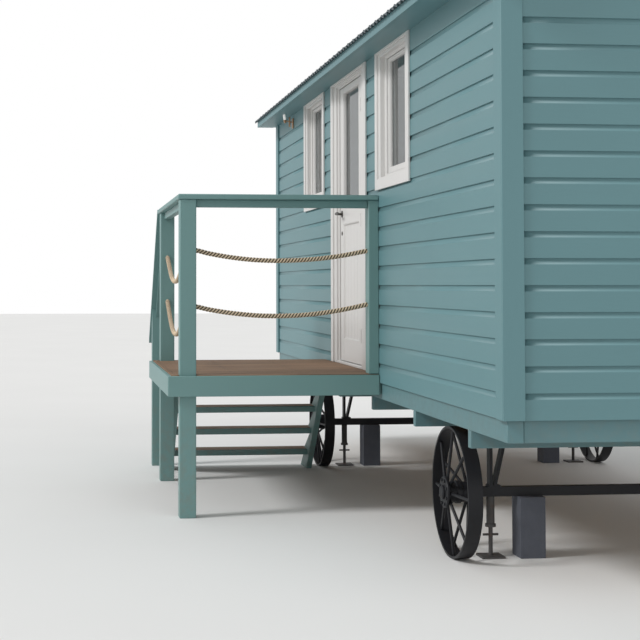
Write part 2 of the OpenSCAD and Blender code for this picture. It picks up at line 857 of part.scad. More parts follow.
module handrail() {
    color(paint) translate([0, post_in + cap_over, 0]) rotate([90, 0, 0]) linear_extrude(post_w + 2 * cap_over)
        polygon([[cap_far_x, rail_top], [handrail_far, handrail_far_z],
                 [handrail_far, handrail_low(handrail_far)], [cap_far_x, handrail_low(cap_far_x)]]);
}

// A back plate, an arm out from it and a slim tube that leans in towards the wall at its foot
module eave_lamp() {
    arm_z = 2765;
    tube_y = half_w + 62;
    tube_h = 90;
    plate_t = 12;
    color(copper) translate([-2325, 0, 0]) {
        block([-20, -clad_w - plate_t, arm_z - 61], [20, -clad_w, arm_z + 23]);
        translate([0, -clad_w - plate_t + eps, arm_z]) rotate([90, 0, 0])
            cylinder(h = tube_y - clad_w - plate_t, r = 5);
        translate([0, -tube_y, arm_z]) rotate([8, 0, 0]) cylinder(h = tube_h, r = 12, center = true);
    }
}

place() front_wall_near();
place() front_wall_far();
place() front_wall_over_door();
place() back_wall();
place() near_end_wall();
place() far_end_wall();
place() floor_slab();  // floor
place() roof_boards();
place() roof_sheeting();
place() verge_boards();
place() eave_boards();
place() corner_boards();
place() window_casings();
place() window_sashes();
place() window_glass();
place() door_casing();
place() door_leaf();
place() door_hinges();
place() door_glass();
place() door_handles();
place() sill_beams();
place() chassis_rails();
place() cross_bearers();
place() axles();
place() axle_hangers();
place() front_wheel(near_axle_x);  // wheel_near_front
place() back_wheel(near_axle_x);  // wheel_near_back
place() front_wheel(far_axle_x);  // wheel_far_front
place() back_wheel(far_axle_x);  // wheel_far_back
place() screw_props();
place() support_blocks();
place() deck_boards();
place() deck_frame();
place() deck_posts();
place() cap_rails();
place() under_rails();
place() near_rope(near_upper_route);  // near_upper_rope
place() near_rope(near_lower_route);  // near_lower_rope
place() side_rope(side_upper_route);  // side_upper_rope
place() side_rope(side_lower_route);  // side_lower_rope
place() stringers();
place() treads();
place() newel_post();
place() handrail();
place() eave_lamp();
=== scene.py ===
"""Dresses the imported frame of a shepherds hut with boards, joinery, ropes, finishes, light and a camera.

Sizes are in metres. Pieces are drawn about the hut's own middle, with the door side facing -Y and the near
end towards +X, and each mesh is moved into the row's frame when it is finished.
"""
import json
import logging
import math
from dataclasses import dataclass, field
from enum import Enum
from itertools import product
from typing import Callable, Optional, Sequence, Union

import bmesh
import bpy
from mathutils import Matrix, Vector

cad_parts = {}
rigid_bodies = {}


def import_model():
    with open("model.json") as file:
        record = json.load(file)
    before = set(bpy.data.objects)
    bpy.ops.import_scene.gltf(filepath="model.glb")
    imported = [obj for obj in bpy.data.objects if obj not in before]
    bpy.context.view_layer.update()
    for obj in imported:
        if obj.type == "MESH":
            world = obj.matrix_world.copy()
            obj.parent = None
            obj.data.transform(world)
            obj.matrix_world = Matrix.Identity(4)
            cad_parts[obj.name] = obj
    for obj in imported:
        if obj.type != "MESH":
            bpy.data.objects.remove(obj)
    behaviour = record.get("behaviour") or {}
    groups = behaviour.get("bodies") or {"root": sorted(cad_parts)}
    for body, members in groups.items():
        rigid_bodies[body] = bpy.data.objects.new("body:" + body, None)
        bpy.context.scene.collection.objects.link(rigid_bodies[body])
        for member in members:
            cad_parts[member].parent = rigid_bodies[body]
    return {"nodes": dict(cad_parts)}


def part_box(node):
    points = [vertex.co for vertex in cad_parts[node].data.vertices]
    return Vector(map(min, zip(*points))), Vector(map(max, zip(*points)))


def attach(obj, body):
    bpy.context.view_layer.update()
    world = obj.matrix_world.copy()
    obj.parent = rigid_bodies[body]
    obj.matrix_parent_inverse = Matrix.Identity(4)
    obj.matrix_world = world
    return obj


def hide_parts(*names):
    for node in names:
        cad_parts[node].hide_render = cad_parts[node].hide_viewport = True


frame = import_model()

logging.basicConfig(level=logging.INFO, format="%(name)s: %(message)s")
log = logging.getLogger("hut")

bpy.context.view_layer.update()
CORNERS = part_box("corner_boards")
MID_Y = (CORNERS[0][1] + CORNERS[1][1]) / 2

Point = Sequence[float]
Colour = tuple[float, float, float]
Material = bpy.types.Material
Socket = bpy.types.NodeSocket
Vert = bmesh.types.BMVert
Value = Union["Signal", Socket, float, int, Sequence[float]]


class Graph:
    """Adds nodes to a shader tree or a Geometry Nodes tree."""

    def __init__(self, tree: bpy.types.NodeTree) -> None:
        """Keeps the tree that the nodes go into."""
        self.tree = tree

    def node(self, kind: str, settings: Optional[dict] = None,
             inputs: Optional[dict] = None) -> bpy.types.Node:
        """Adds one node.

        Args:
            kind: The node's type, such as ShaderNodeTexNoise.
            settings: Properties of the node, set before its sockets.
            inputs: Values or links by socket name or number.

        Returns:
            The new node.
        """
        made = self.tree.nodes.new(kind)
        for name, value in (settings or {}).items():
            setattr(made, name, value)
        for key, value in (inputs or {}).items():
            if isinstance(key, int):
                socket = made.inputs[key]
            else:
                socket = next(s for s in made.inputs if s.name == key and s.enabled)
            self.feed(socket, value)
        return made

    def feed(self, socket: Socket, value: Value) -> None:
        """Links a socket to another node's output, or sets its own value.

        Args:
            socket: The input to feed.
            value: An output, or a plain value.
        """
        if isinstance(value, (Signal, Socket)):
            self.tree.links.new(value.socket if isinstance(value, Signal) else value, socket)
        else:
            socket.default_value = value

    def signal(self, node: bpy.types.Node, output: Union[int, str] = 0) -> "Signal":
        """Wraps one of a node's outputs for arithmetic.

        Args:
            node: The node.
            output: The output's number or name.

        Returns:
            The wrapped output.
        """
        if isinstance(output, str):
            return Signal(self, next(s for s in node.outputs if s.name == output and s.enabled))
        return Signal(self, node.outputs[output])

    def calc(self, operation: str, *values: Value) -> "Signal":
        """Adds a Math node on the values and wraps its result."""
        return self.signal(self.node("ShaderNodeMath", {"operation": operation}, dict(enumerate(values))))


def arithmetic(operation: str) -> tuple[Callable, Callable]:
    """Makes an operator that adds a Math node.

    Args:
        operation: The Math node's operation.

    Returns:
        The operator and its reflected form.
    """
    def forward(self: "Signal", other: Value) -> "Signal":
        """Puts the signal first."""
        return self.graph.calc(operation, self, other)

    def reflected(self: "Signal", other: Value) -> "Signal":
        """Puts the other value first."""
        return self.graph.calc(operation, other, self)

    return forward, reflected


class Signal:
    """A node's output that takes part in arithmetic, where each operator adds a Math node."""

    __add__, __radd__ = arithmetic("ADD")
    __sub__, __rsub__ = arithmetic("SUBTRACT")
    __mul__, __rmul__ = arithmetic("MULTIPLY")
    __truediv__, __rtruediv__ = arithmetic("DIVIDE")

    def __init__(self, graph: Graph, socket: Socket) -> None:
        """Keeps the graph and the output."""
        self.graph = graph
        self.socket = socket

    def between(self, low: float, high: float) -> "Signal":
        """Returns a smooth step from 0 at low to 1 at high, where low may be the larger."""
        made = self.graph.node("ShaderNodeMapRange", {"interpolation_type": "SMOOTHSTEP"}, {
            "Value": self, "From Min": low, "From Max": high})
        return self.graph.signal(made)


class Grain(Enum):
    """The way that a finish's streaks run."""

    ALONG = (0.04, 1.0, 1.0)
    ACROSS = (1.0, 0.04, 1.0)
    UPRIGHT = (1.0, 1.0, 0.04)
    NONE = (1.0, 1.0, 1.0)


class Finish:
    """A procedural material under construction."""

    def __init__(self, name: str) -> None:
        """Starts a material with a Principled shader."""
        self.material = bpy.data.materials.new(name)
        self.material.use_nodes = True
        tree = self.material.node_tree
        tree.nodes.clear()
        self.graph = Graph(tree)
        self.shader = self.graph.node("ShaderNodeBsdfPrincipled")
        self.graph.node("ShaderNodeOutputMaterial", None, {"Surface": self.shader.outputs[0]})
        self.place = self.graph.node("ShaderNodeTexCoord").outputs["Object"]

    def noise(self, scale: float, grain: Grain = Grain.NONE, detail: float = 3.0,
              rough: float = 0.55) -> Signal:
        """Adds a noise pattern on object coordinates.

        Args:
            scale: Features per metre across the streaks.
            grain: The way that the streaks run.
            detail: Octaves of the noise.
            rough: Strength of the finer octaves.

        Returns:
            The noise, about 0.5 in the middle.
        """
        where = self.graph.node("ShaderNodeMapping", None, {"Vector": self.place, "Scale": grain.value})
        return self.graph.signal(self.graph.node("ShaderNodeTexNoise", None, {
            "Vector": where.outputs[0], "Scale": scale, "Detail": detail, "Roughness": rough}))

    def attribute(self, name: str) -> Signal:
        """Reads one of the piece's own attributes, which is 0 on a piece without it."""
        made = self.graph.node("ShaderNodeAttribute", {"attribute_type": "GEOMETRY", "attribute_name": name})
        return self.graph.signal(made, "Fac")

    def upright(self, vector: Socket) -> Signal:
        """Returns a vector's upright part."""
        return self.graph.signal(self.graph.node("ShaderNodeSeparateXYZ", None, {0: vector}), "Z")

    def height(self) -> Signal:
        """Returns the height above the ground."""
        return self.upright(self.place)

    def facing_up(self) -> Signal:
        """Returns how far a face looks up, from -1 to 1."""
        return self.upright(self.graph.node("ShaderNodeNewGeometry").outputs["Normal"])

    def scaled(self, colour: Value, factor: Value) -> Socket:
        """Returns a colour times a number."""
        made = self.graph.node("ShaderNodeVectorMath", {"operation": "SCALE"}, {0: colour, "Scale": factor})
        return made.outputs[0]

    def mixed(self, factor: Value, first: Value, second: Value) -> Socket:
        """Blends two colours.

        Args:
            factor: The second colour's share.
            first: The first colour.
            second: The second colour.

        Returns:
            The blend.
        """
        made = self.graph.node("ShaderNodeMix", {"data_type": "RGBA"})
        self.graph.feed(made.inputs[0], factor)
        for index, value in ((6, first), (7, second)):
            self.graph.feed(made.inputs[index], (*value, 1.0) if isinstance(value, tuple) else value)
        return made.outputs[2]

    def bump(self, height: Signal, strength: float, depth: float) -> None:
        """Feeds the shader's normal from a height pattern."""
        self.set("Normal", self.graph.node("ShaderNodeBump", None, {
            "Height": height, "Strength": strength, "Distance": depth}).outputs[0])

    def set(self, name: str, value: Value) -> None:
        """Sets one of the shader's sockets, where a tuple is a colour."""
        self.graph.feed(self.shader.inputs[name], (*value, 1.0) if isinstance(value, tuple) else value)


@dataclass(frozen=True)
class Coating:
    """A finish with a name and a main colour."""

    name: str
    colour: Colour

    def draw(self, f: Finish) -> None:
        """Feeds the shader, which each kind of coating does in its own way.

        Args:
            f: The finish under construction.
        """
        raise NotImplementedError

    def build(self) -> Material:
        """Returns the material."""
        f = Finish(self.name)
        self.draw(f)
        return f.material


@dataclass(frozen=True)
class Paint(Coating):
    """Brushed paint on timber, a little faded, with splashed dust near the ground."""

    grain: Grain = Grain.ALONG
    dust: Colour = (0.23, 0.21, 0.17)
    dust_top: float = 0.95
    roughness: float = 0.46

    def draw(self, f: Finish) -> None:
        """Feeds the shader.

        Args:
            f: The finish under construction.
        """
        fade = f.noise(1.3, detail=2.0)
        brush = f.noise(260.0, self.grain, detail=2.0)
        patch = f.noise(9.0, self.grain, detail=4.0)
        shade = 0.90 + 0.12 * fade + 0.05 * brush + 0.06 * patch + 0.55 * f.attribute("tone")
        splash = f.height().between(self.dust_top, 0.0) * f.noise(22.0, detail=5.0).between(0.36, 0.72)
        settled = f.facing_up().between(0.6, 1.0) * f.noise(30.0, detail=5.0).between(0.42, 0.8)
        f.set("Base Color", f.mixed(splash * 0.34 + settled * 0.10, f.scaled(self.colour, shade), self.dust))
        f.set("Roughness", self.roughness + 0.14 * patch - 0.07 + 0.2 * splash)
        f.bump(brush * 0.6 + patch * 0.8 + f.noise(90.0, detail=2.0) * 0.5, 0.35, 0.0007)


@dataclass(frozen=True)
class Timber(Coating):
    """Bare or stained boards with drawn-out grain and darker rings."""

    dark: Colour
    grain: Grain = Grain.ALONG
    roughness: float = 0.68
    spread: float = 1.0
    gloss: float = 0.5

    def draw(self, f: Finish) -> None:
        """Feeds the shader.

        Args:
            f: The finish under construction.
        """
        fibre = f.noise(150.0, self.grain, detail=5.0, rough=0.7)
        rings = f.noise(26.0, self.grain, detail=3.0)
        wide = f.noise(2.1, detail=3.0)
        share = rings.between(0.42, 0.68) * 0.7 + fibre.between(0.5, 0.8) * 0.35
        shade = 0.86 + 0.24 * wide + 0.12 * fibre + self.spread * f.attribute("tone")
        f.set("Base Color", f.scaled(f.mixed(share, self.colour, self.dark), shade))
        f.set("Roughness", self.roughness + 0.2 * fibre - 0.1)
        f.set("Specular IOR Level", self.gloss)
        f.bump(fibre + rings * 0.6, 0.55, 0.0011)


@dataclass(frozen=True)
class Iron(Coating):
    """Painted or bare iron, a little pitted, with rust that gathers in patches."""

    rust: Colour = (0.14, 0.062, 0.028)
    rusting: float = 0.25
    roughness: float = 0.42
    gloss: float = 0.5

    def draw(self, f: Finish) -> None:
        """Feeds the shader.

        Args:
            f: The finish under construction.
        """
        patch = f.noise(11.0, detail=6.0, rough=0.65)
        fine = f.noise(130.0, detail=3.0)
        start = 0.66 - 0.3 * self.rusting
        rust = patch.between(start, start + 0.20) * min(1.0, 2.2 * self.rusting)
        shade = 0.75 + 0.35 * fine + 0.25 * patch
        f.set("Base Color", f.mixed(rust, f.scaled(self.colour, shade), self.rust))
        f.set("Roughness", self.roughness + 0.12 * fine + 0.35 * rust)
        f.set("Specular IOR Level", self.gloss)
        f.bump(fine * 0.5 + patch, 0.4, 0.0008)


@dataclass(frozen=True)
class CoatedSheet(Coating):
    """Coated steel sheeting with faint streaks down its slope."""

    def draw(self, f: Finish) -> None:
        """Feeds the shader.

        Args:
            f: The finish under construction.
        """
        streak = f.noise(40.0, Grain.ACROSS, detail=4.0)
        wide = f.noise(1.1, detail=3.0)
        fine = f.noise(220.0, detail=2.0)
        f.set("Base Color", f.scaled(self.colour, 0.82 + 0.2 * streak + 0.18 * wide))
        f.set("Roughness", 0.46 + 0.2 * streak - 0.1 * fine)
        f.set("Metallic", 0.35)
        f.bump(fine, 0.15, 0.0004)


@dataclass(frozen=True)
class ShadeDarkenedGlass(Coating):
    """Window glass with a grey tint darkened as painted shade, standing in for dark reflections and the
    shaded room behind, and a trace of dust.
    """

    gloss: float = 0.12

    def draw(self, f: Finish) -> None:
        """Feeds the shader.

        Args:
            f: The finish under construction.
        """
        # The tint is darkened as painted shade, not the glass's own colour.
        f.set("Base Color", self.colour)
        f.set("Transmission Weight", 1.0)
        f.set("IOR", 1.5)
        f.set("Specular IOR Level", self.gloss)
        f.set("Roughness", 0.015 + 0.03 * f.noise(4.0, detail=3.0))


@dataclass(frozen=True)
class Masonry(Coating):
    """A rough cast block."""

    def draw(self, f: Finish) -> None:
        """Feeds the shader.

        Args:
            f: The finish under construction.
        """
        grit = f.noise(190.0, detail=4.0, rough=0.7)
        wide = f.noise(14.0, detail=3.0)
        f.set("Base Color", f.scaled(self.colour, 0.7 + 0.35 * grit + 0.3 * wide))
        f.set("Roughness", 0.85)
        f.bump(grit + wide * 0.5, 0.7, 0.0022)


@dataclass(frozen=True)
class PaintedShadeFibre(Coating):
    """Laid natural rope, with painted shade in the grooves where the strands meet and painted highlight on
    their crowns.
    """

    dark: Colour

    def draw(self, f: Finish) -> None:
        """Feeds the shader.

        Args:
            f: The finish under construction.
        """
        hair = f.noise(420.0, detail=3.0, rough=0.7)
        wide = f.noise(14.0, detail=2.0)
        # Painted shade and highlight: the crown attribute blends the dark colour into the grooves and the
        # light colour onto the crowns, standing in for the way light falls across the lay; the hair and wide
        # noise are the fibre's own tone.
        share = f.attribute("crown").between(0.34, 0.90) + 0.24 * hair - 0.12
        shade = 0.82 + 0.2 * wide + 0.2 * hair
        f.set("Base Color", f.scaled(f.mixed(share, self.dark, self.colour), shade))
        f.set("Roughness", 0.88)
        f.bump(hair, 0.8, 0.0012)


@dataclass(frozen=True)
class Glazed(Coating):
    """Smooth milky plastic that glows a little."""

    roughness: float = 0.3
    glow: float = 0.45

    def draw(self, f: Finish) -> None:
        """Feeds the shader.

        Args:
            f: The finish under construction.
        """
        wide = f.noise(25.0, detail=2.0)
        f.set("Base Color", f.scaled(self.colour, 0.94 + 0.1 * wide))
        f.set("Emission Color", self.colour)
        f.set("Emission Strength", self.glow)
        f.set("Roughness", self.roughness + 0.1 * wide)


TEAL = (0.113, 0.234, 0.254)
SAGE = (0.148, 0.274, 0.267)


def coat(coating: Coating) -> Material:
    """Declares a field that holds a coating's material."""
    return field(default_factory=coating.build)


@dataclass
class Finishes:
    """Every finish on the hut."""

    hull: Material = coat(Paint("hull_paint", TEAL))
    hull_cross: Material = coat(Paint("hull_paint_across", TEAL, Grain.ACROSS))
    hull_upright: Material = coat(Paint("hull_paint_upright", TEAL, Grain.UPRIGHT))
    deck_paint: Material = coat(Paint("deck_paint", SAGE))
    deck_paint_cross: Material = coat(Paint("deck_paint_across", SAGE, Grain.ACROSS))
    deck_paint_upright: Material = coat(Paint("deck_paint_upright", SAGE, Grain.UPRIGHT))
    # The hull's teal made about an eighth darker as painted shade under the hut, with dust splashed higher
    # up.
    underframe_shaded_paint: Material = coat(Paint("underframe_paint_darkened_as_shade", (0.100, 0.205, 0.222), dust_top=1.3))
    white: Material = coat(Paint("joinery_paint", (0.66, 0.65, 0.635), Grain.UPRIGHT, dust_top=0.99,
                                 roughness=0.36))
    lining: Material = coat(Paint("lining_paint", (0.72, 0.70, 0.65), Grain.UPRIGHT, dust_top=0.5))
    deck: Material = coat(Timber("deck_boards", (0.250, 0.158, 0.100), (0.078, 0.048, 0.031), Grain.ACROSS,
                                 spread=2.1, gloss=0.22))
    floor: Material = coat(Timber("floor_boards", (0.42, 0.27, 0.14), (0.27, 0.16, 0.08)))
    roof_timber: Material = coat(Timber("roof_boards", (0.40, 0.33, 0.23), (0.26, 0.20, 0.13)))
    sheeting: Material = coat(CoatedSheet("roof_sheeting", (0.112, 0.136, 0.147)))
    # The glass tint is darkened as painted shade for the panes.
    glass: Material = coat(ShadeDarkenedGlass("window_glass", (0.40, 0.47, 0.49)))
    bronze: Material = coat(Iron("dark_bronze", (0.040, 0.036, 0.031), (0.10, 0.06, 0.035), 0.05, 0.30))
    iron: Material = coat(Iron("black_iron", (0.011, 0.0115, 0.014), rusting=0.12, gloss=0.28))
    dull_iron: Material = coat(Iron("dull_iron", (0.060, 0.057, 0.056), rusting=0.28, roughness=0.55))
    block: Material = coat(Masonry("support_block", (0.088, 0.096, 0.118)))
    # The rope's dark colour is painted shade for the grooves between the strands.
    rope: Material = coat(PaintedShadeFibre("laid_rope_with_painted_shade", (0.68, 0.535, 0.375), (0.026, 0.017, 0.011)))
    copper: Material = coat(Iron("coppery_bracket", (0.46, 0.27, 0.155), (0.16, 0.09, 0.05), 0.12, 0.34))
    tube: Material = coat(Glazed("lamp_tube", (0.80, 0.79, 0.76)))


def linked(name: str, data: bpy.types.ID) -> bpy.types.Object:
    """Adds an object to the scene.

    Args:
        name: The object's name.
        data: Its mesh, lamp or camera.

    Returns:
        The object.
    """
    made = bpy.data.objects.new(name, data)
    bpy.context.scene.collection.objects.link(made)
    return made


def circle(radius: float, sides: int) -> list[Point]:
    """Returns the corners of a regular outline."""
    turns = [2 * math.pi * k / sides for k in range(sides)]
    return [(radius * math.cos(a), radius * math.sin(a)) for a in turns]


class Shape:
    """A mesh under construction, in metres about the hut's own middle."""

    def __init__(self, name: str) -> None:
        """Starts an empty mesh."""
        self.name = name
        self.bm = bmesh.new()
        self.tones = self.bm.verts.layers.float.new("tone")
        self.finishes: list[Material] = []
        self.current = 0

    def use(self, finish: Material) -> "Shape":
        """Gives the faces made from here on a finish.

        Args:
            finish: The finish.

        Returns:
            The shape itself.
        """
        if finish not in self.finishes:
            self.finishes.append(finish)
        self.current = self.finishes.index(finish)
        return self

    def vert(self, place: Point, tone: float = 0.0) -> Vert:
        """Adds a vertex.

        Args:
            place: Where it goes.
            tone: Lightness of its board against its neighbours.

        Returns:
            The vertex.
        """
        made = self.bm.verts.new(place)
        made[self.tones] = tone
        return made

    def face(self, ring: Sequence[Vert], smooth: bool = False) -> None:
        """Adds a face in the current finish.

        Args:
            ring: Its vertices in turn.
            smooth: Whether it is shaded smooth.
        """
        made = self.bm.faces.new(ring)
        made.material_index = self.current
        made.smooth = smooth

    def loft(self, rings: Sequence[Sequence[Vert]], smooth: Sequence[int] = (),
             closed: bool = False) -> "Shape":
        """Joins rings of vertices in turn.

        Args:
            rings: The rings, each of the same number of vertices.
            smooth: Which of a ring's sides are shaded smooth.
            closed: Whether the last ring joins the first, instead of a cap at each end.

        Returns:
            The shape itself.
        """
        for one, two in zip(rings, (*rings[1:], rings[0]) if closed else rings[1:]):
            for k in range(len(one)):
                n = (k + 1) % len(one)
                self.face([one[k], one[n], two[n], two[k]], k in smooth)
        for cap in () if closed else (rings[0], rings[-1]):
            self.face(cap)
        return self

    def block(self, low: Point, high: Point, edge: float = 0.002, tone: float = 0.0) -> "Shape":
        """Adds a box with chamfered edges.

        Args:
            low: One of its corners.
            high: The corner opposite.
            edge: Width of the chamfer.
            tone: Lightness of this board against its neighbours.

        Returns:
            The shape itself.
        """
        pairs = list(zip(low, high))
        low, high = [min(pair) for pair in pairs], [max(pair) for pair in pairs]
        edge = min(edge, 0.4 * min(b - a for a, b in zip(low, high)))
        verts = {}
        for corner in product((0, 1), repeat=3):
            for axis in range(3):
                inset = [0.0 if i == axis else edge for i in range(3)]
                place = [high[i] - inset[i] if corner[i] else low[i] + inset[i] for i in range(3)]
                verts[corner, axis] = self.vert(place, tone)
        for axis in range(3):
            u, v = (i for i in range(3) if i != axis)
            at = {}
            for sides in product((0, 1), repeat=3):
                by_axis = dict(zip((axis, u, v), sides))
                at[sides] = (by_axis[0], by_axis[1], by_axis[2])
            for side in (0, 1):
                self.face([verts[at[side, a, b], axis] for a, b in ((0, 0), (1, 0), (1, 1), (0, 1))])
            for a, b in product((0, 1), repeat=2):
                start, stop = at[0, a, b], at[1, a, b]
                self.face([verts[start, u], verts[stop, u], verts[stop, v], verts[start, v]], True)
        for corner in product((0, 1), repeat=3):
            self.face([verts[corner, axis] for axis in range(3)], True)
        return self

    def prism(self, outline: Sequence[Point], low: float, high: float, axis: str) -> "Shape":
        """Runs an outline along an axis.

        Args:
            outline: Points in the plane across the axis, as (y, z), (x, z) or (x, y).
            low: Where the run starts.
            high: Where it ends.
            axis: The axis of the run.

        Returns:
            The shape itself.
        """
        order = {"x": (2, 0, 1), "y": (0, 2, 1), "z": (0, 1, 2)}[axis]
        return self.loft([[self.vert([(*point, along)[i] for i in order]) for point in outline]
                          for along in (low, high)])

    def nest(self, loops: Sequence[tuple[float, ...]]) -> "Shape":
        """Builds a frame from nested rectangles, each joined to the next and the last to the first.

        Args:
            loops: Rectangles in upright planes along the hut, as (left, right, low, high, y).

        Returns:
            The shape itself.
        """
        rings = []
        for left, right, low, high, y in loops:
            corners = ((left, low), (right, low), (right, high), (left, high))
            rings.append([self.vert((x, y, z)) for x, z in corners])
        return self.loft(rings, closed=True)

    def tube(self, points: Sequence[Point], radii: Sequence[float], sides: int) -> "Shape":
        """Runs a round bar along points.

        Args:
            points: The centre line.
            radii: The bar's radius at each point.
            sides: Sides of the bar.

        Returns:
            The shape itself.
        """
        line = [Vector(p) for p in points]
        side = (line[1] - line[0]).normalized().orthogonal().normalized()
        rings = []
        for i, here in enumerate(line):
            ahead = direction(line, i)
            side = (side - ahead * side.dot(ahead)).normalized()
            up = ahead.cross(side)
            rings.append([self.vert(here + side * a + up * b) for a, b in circle(radii[i], sides)])
        return self.loft(rings, range(sides))

    def add(self, mesh: bpy.types.Mesh, move: Matrix, contrast: float = 1.0) -> "Shape":
        """Takes in a mesh and removes it.

        Args:
            mesh: The mesh.
            move: Where it goes.
            contrast: How much of its differences in tone is kept.

        Returns:
            The shape itself.
        """
        tones = mesh.attributes["tone"].data
        verts = [self.vert(move @ v.co, contrast * tones[i].value) for i, v in enumerate(mesh.vertices)]
        for polygon in mesh.polygons:
            self.face([verts[i] for i in polygon.vertices], polygon.use_smooth)
        bpy.data.meshes.remove(mesh)
        return self

    def mesh(self) -> bpy.types.Mesh:
        """Returns the shape as a mesh whose faces look outward."""
        bmesh.ops.recalc_face_normals(self.bm, faces=self.bm.faces)
        mesh = bpy.data.meshes.new(self.name)
        self.bm.to_mesh(mesh)
        return mesh

    def build(self, body: str = "hut", replaces: Sequence[str] = (),
              slot: Optional[str] = None) -> bpy.types.Object:
        """Finishes the piece.

        Args:
            body: The body that it rides on.
            replaces: The nodes that it stands for.
            slot: The material slot of the piece's finish; not used.

        Returns:
            The piece.
        """
        for v in self.bm.verts:
            v.co.y += MID_Y
        mesh = self.mesh()
        self.bm.free()
        for finish in self.finishes:
            mesh.materials.append(finish)
        piece = linked(self.name, mesh)
        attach(piece, body)
        if replaces:
            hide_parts(*replaces)
        log.info("%s: %d faces on %s", self.name, len(mesh.polygons), body)
        return piece


def direction(line: Sequence[Vector], i: int) -> Vector:
    """Returns the way that a line runs at one of its points."""
    return (line[min(i + 1, len(line) - 1)] - line[max(i - 1, 0)]).normalized()


class LaidTree:
    """A Geometry Nodes tree that lays copies of a shape and gives a plain mesh."""

    def __init__(self, name: str, **sockets: str) -> None:
        """Makes the tree's inputs and its output.

        Args:
            name: The tree's name.
            sockets: The kind of each input by its name, past the three that every tree has.
        """
        self.tree = bpy.data.node_groups.new(name, "GeometryNodeTree")
        self.tree.interface.new_socket("Geometry", in_out="OUTPUT", socket_type="NodeSocketGeometry")
        self.ids = {}
        for label, kind in {"Template": "Object", "Finish": "Material", "Seed": "Int", **sockets}.items():
            made = self.tree.interface.new_socket(label, in_out="INPUT", socket_type="NodeSocket" + kind)
            self.ids[label] = made.identifier
        self.graph = Graph(self.tree)
        self.entry = self.graph.node("NodeGroupInput")

    def input(self, label: str) -> Signal:
        """Returns one of the tree's inputs."""
        return self.graph.signal(self.entry, label)

    def line(self, count: Value, step: Value = (0.0, 0.0, 0.0)) -> Socket:
        """Returns points in a row."""
        made = self.graph.node("GeometryNodeMeshLine", {"mode": "OFFSET"}, {"Count": count, "Offset": step})
        return made.outputs[0]

    def order(self) -> Signal:
        """Returns each point's number."""
        return self.graph.signal(self.graph.node("GeometryNodeInputIndex"))

    def polar(self, angle: Signal) -> tuple[Signal, Signal]:
        """Returns the tree's radius times the angle's cosine and sine."""
        radius = self.input("Radius")
        return self.graph.calc("COSINE", angle) * radius, self.graph.calc("SINE", angle) * radius

    def place(self, points: Socket, where: dict[str, Value], turn: dict[str, Value]) -> None:
        """Moves points that are all in one place, and ends the tree with a turned copy on each.

        Args:
            points: The points.
            where: Where each goes, by axis.
            turn: How far its copy turns, by axis.
        """
        spot = self.graph.node("ShaderNodeCombineXYZ", None, where)
        angle = self.graph.node("ShaderNodeCombineXYZ", None, turn)
        put = self.graph.node("GeometryNodeSetPosition", None, {
            "Geometry": points, "Position": spot.outputs[0]})
        self.finish(put.outputs[0], {"Rotation": angle.outputs[0]})

    def finish(self, points: Socket, form: dict[str, Value]) -> None:
        """Ends the tree: a copy on each point, a random tone, real geometry and the finish.

        Args:
            points: Where the copies go.
            form: Their rotation or scale.
        """
        g = self.graph
        template = g.node("GeometryNodeObjectInfo", {"transform_space": "ORIGINAL"}, {
            "Object": self.input("Template")})
        laid = g.node("GeometryNodeInstanceOnPoints", None, {
            "Points": points, "Instance": template.outputs["Geometry"], **form})
        tone = g.node("FunctionNodeRandomValue", {"data_type": "FLOAT"}, {
            "Min": -0.1, "Max": 0.1, "Seed": self.input("Seed")})
        stored = g.node("GeometryNodeStoreNamedAttribute", {"data_type": "FLOAT", "domain": "INSTANCE"}, {
            "Geometry": laid.outputs[0], "Name": "tone", "Value": g.signal(tone, "Value")})
        real = g.node("GeometryNodeRealizeInstances", None, {"Geometry": stored.outputs[0]})
        dressed = g.node("GeometryNodeSetMaterial", None, {
            "Geometry": real.outputs[0], "Material": self.input("Finish")})
        g.node("NodeGroupOutput", None, {0: dressed.outputs[0]})

    def lay(self, shape: Shape, template: Shape, where: Matrix, contrast: float = 1.0,
            **inputs: object) -> None:
        """Evaluates the tree once on an empty object, and adds the copies to a shape in its current finish.

        Args:
            shape: The shape that takes the copies.
            template: The shape to copy.
            where: The place of the first copy, with the turn of them all.
            contrast: How much of their differences in tone is kept.
            inputs: The tree's other inputs, by name.
        """
        pattern = linked("pattern", template.mesh())
        carrier = linked("laying", bpy.data.meshes.new("laying"))
        modifier = carrier.modifiers.new("laid", "NODES")
        modifier.node_group = self.tree
        wanted = {"Template": pattern, "Finish": shape.finishes[shape.current], **inputs}
        for label, value in wanted.items():
            modifier[self.ids[label]] = value
        found = carrier.evaluated_get(bpy.context.evaluated_depsgraph_get())
        mesh = bpy.data.meshes.new_from_object(found)
        carrier.modifiers.remove(modifier)
        for used in (carrier, pattern):
            data = used.data
            bpy.data.objects.remove(used)
            bpy.data.meshes.remove(data)
        shape.add(mesh, where, contrast)


class Row(LaidTree):
    """Lays like pieces at a fixed step, each stretched by the same amounts."""

    def __init__(self) -> None:
        """Builds the tree."""
        super().__init__("laid_row", Count="Int", Step="Vector", Stretch="Vector")
        self.finish(self.line(self.input("Count"), self.input("Step")), {"Scale": self.input("Stretch")})


class Ring(LaidTree):
    """Lays like pieces round the Y axis, each turned with its place."""

    def __init__(self) -> None:
        """Builds the tree."""
        super().__init__("laid_ring", Count="Int", Radius="Float", Start="Float")
        count = self.input("Count")
        angle = self.order() / count * (2 * math.pi) + self.input("Start")
        across, up = self.polar(angle)
        self.place(self.line(count), {"X": across, "Z": up}, {"Y": angle * -1.0})


